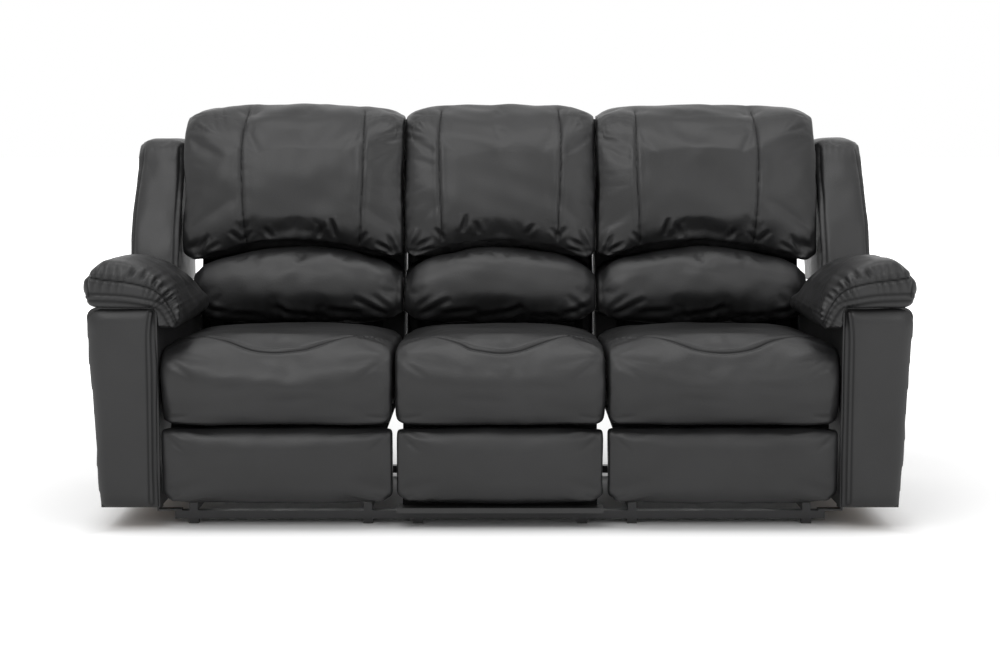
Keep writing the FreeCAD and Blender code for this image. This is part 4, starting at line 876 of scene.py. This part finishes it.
def area_light(name, place, target, width, height, power):
    """A soft rectangular lamp that looks at a target."""
    lamp = bpy.data.lights.new(name, "AREA")
    lamp.shape = "RECTANGLE"
    lamp.size = width
    lamp.size_y = height
    lamp.energy = power
    holder = bpy.data.objects.new(name, lamp)
    holder.location = place
    holder.rotation_euler = (Vector(target) - Vector(place)).to_track_quat("-Z", "Y").to_euler()
    bpy.context.scene.collection.objects.link(holder)


area_light("key_lamp", (-1.6, -3.6, 3.8), (0, 0, 0.5), 2.8, 1.6, 62)
area_light("fill_lamp", (2.6, -3.8, 2.6), (0, 0, 0.5), 2.2, 1.8, 26)
area_light("top_lamp", (0, -0.5, 3.4), (0, 0, 0.4), 3.4, 1.4, 34)

world = bpy.data.worlds.new("studio")
bpy.context.scene.world = world
world.use_nodes = True
sky = world.node_tree
background = sky.nodes["Background"]
ray = add(sky, "ShaderNodeLightPath")
seen_rays = add(sky, "ShaderNodeMath", {0: ray.outputs["Is Camera Ray"],
                                        1: ray.outputs["Is Transmission Ray"]}, operation="MAXIMUM")
white_rays = add(sky, "ShaderNodeMath", {0: seen_rays.outputs["Value"], 1: ray.outputs["Is Glossy Ray"]},
                 operation="MAXIMUM")
level = add(sky, "ShaderNodeMapRange", {"Value": white_rays.outputs["Value"], "To Min": 0.75, "To Max": 1.0})
sky.links.new(level.outputs["Result"], background.inputs["Strength"])
background.inputs["Color"].default_value = (1, 1, 1, 1)

# The floor glows for the eye beyond the sofa, so that it runs to white; the glow fades near the sofa and is
# left out under it, a painted shadow
FLOOR_REACH = 60.0
floor_mesh = bpy.data.meshes.new("floor")
floor_mesh.from_pydata([(-FLOOR_REACH, -FLOOR_REACH, 0), (FLOOR_REACH, -FLOOR_REACH, 0),
                        (FLOOR_REACH, FLOOR_REACH, 0), (-FLOOR_REACH, FLOOR_REACH, 0)], [], [(0, 1, 2, 3)])
floor = linked("floor", floor_mesh)
pale, pale_tree, pale_shader = new_material("pale floor")
pale_shader.inputs["Base Color"].default_value = (0.8, 0.8, 0.8, 1)
pale_shader.inputs["Roughness"].default_value = 0.9
pale_ray = add(pale_tree, "ShaderNodeLightPath")
pale_seen = add(pale_tree, "ShaderNodeMath", {0: pale_ray.outputs["Is Camera Ray"],
                                              1: pale_ray.outputs["Is Glossy Ray"]}, operation="MAXIMUM")
pale_place = object_place(pale_tree)
pale_from = add(pale_tree, "ShaderNodeVectorMath", {0: pale_place}, operation="LENGTH")
# Painted shadow: near the sofa the glow is cut to 0.3, rising to full between 1.3 m and 3.2 m from its middle
pale_far = add(pale_tree, "ShaderNodeMapRange", {"Value": pale_from.outputs["Value"], "From Min": 1.3,
                                                 "From Max": 3.2, "To Min": 0.3, "To Max": 1.0},
               interpolation_type="SMOOTHSTEP")
# Painted shadow: no glow over the sofa's footprint
pale_fold = add(pale_tree, "ShaderNodeVectorMath", {0: pale_place}, operation="ABSOLUTE")
pale_parts = add(pale_tree, "ShaderNodeSeparateXYZ", {"Vector": pale_fold.outputs["Vector"]})
pale_wide = add(pale_tree, "ShaderNodeMapRange", {"Value": pale_parts.outputs["X"], "From Min": 0.9,
                                                  "From Max": 1.05}, interpolation_type="SMOOTHSTEP")
pale_deep = add(pale_tree, "ShaderNodeMapRange", {"Value": pale_parts.outputs["Y"], "From Min": 0.4,
                                                  "From Max": 0.55}, interpolation_type="SMOOTHSTEP")
pale_open = add(pale_tree, "ShaderNodeMath", {0: pale_wide.outputs["Result"], 1: pale_deep.outputs["Result"]},
                operation="MAXIMUM")
glow_with_painted_shadow = add(pale_tree, "ShaderNodeMath", {0: pale_open.outputs["Value"], 1: pale_far.outputs["Result"]},
                 operation="MULTIPLY")
pale_lift = add(pale_tree, "ShaderNodeMath", {0: pale_seen.outputs["Value"], 1: glow_with_painted_shadow.outputs["Value"]},
                operation="MULTIPLY")
pale_tree.links.new(pale_lift.outputs["Value"], pale_shader.inputs["Emission Strength"])
pale_shader.inputs["Emission Color"].default_value = (1, 1, 1, 1)
floor_mesh.materials.append(pale)

CAMERA_PLACE = (0.0, -5.15, 0.964)
CAMERA_TILT = 5.9
CAMERA_LENS = 71.2
camera = bpy.data.objects.new("camera", bpy.data.cameras.new("camera"))
camera.data.lens = CAMERA_LENS
camera.location = CAMERA_PLACE
camera.rotation_euler = (math.radians(90 - CAMERA_TILT), 0, 0)
bpy.context.scene.collection.objects.link(camera)
bpy.context.scene.camera = camera
bpy.context.scene.view_settings.view_transform = "Standard"
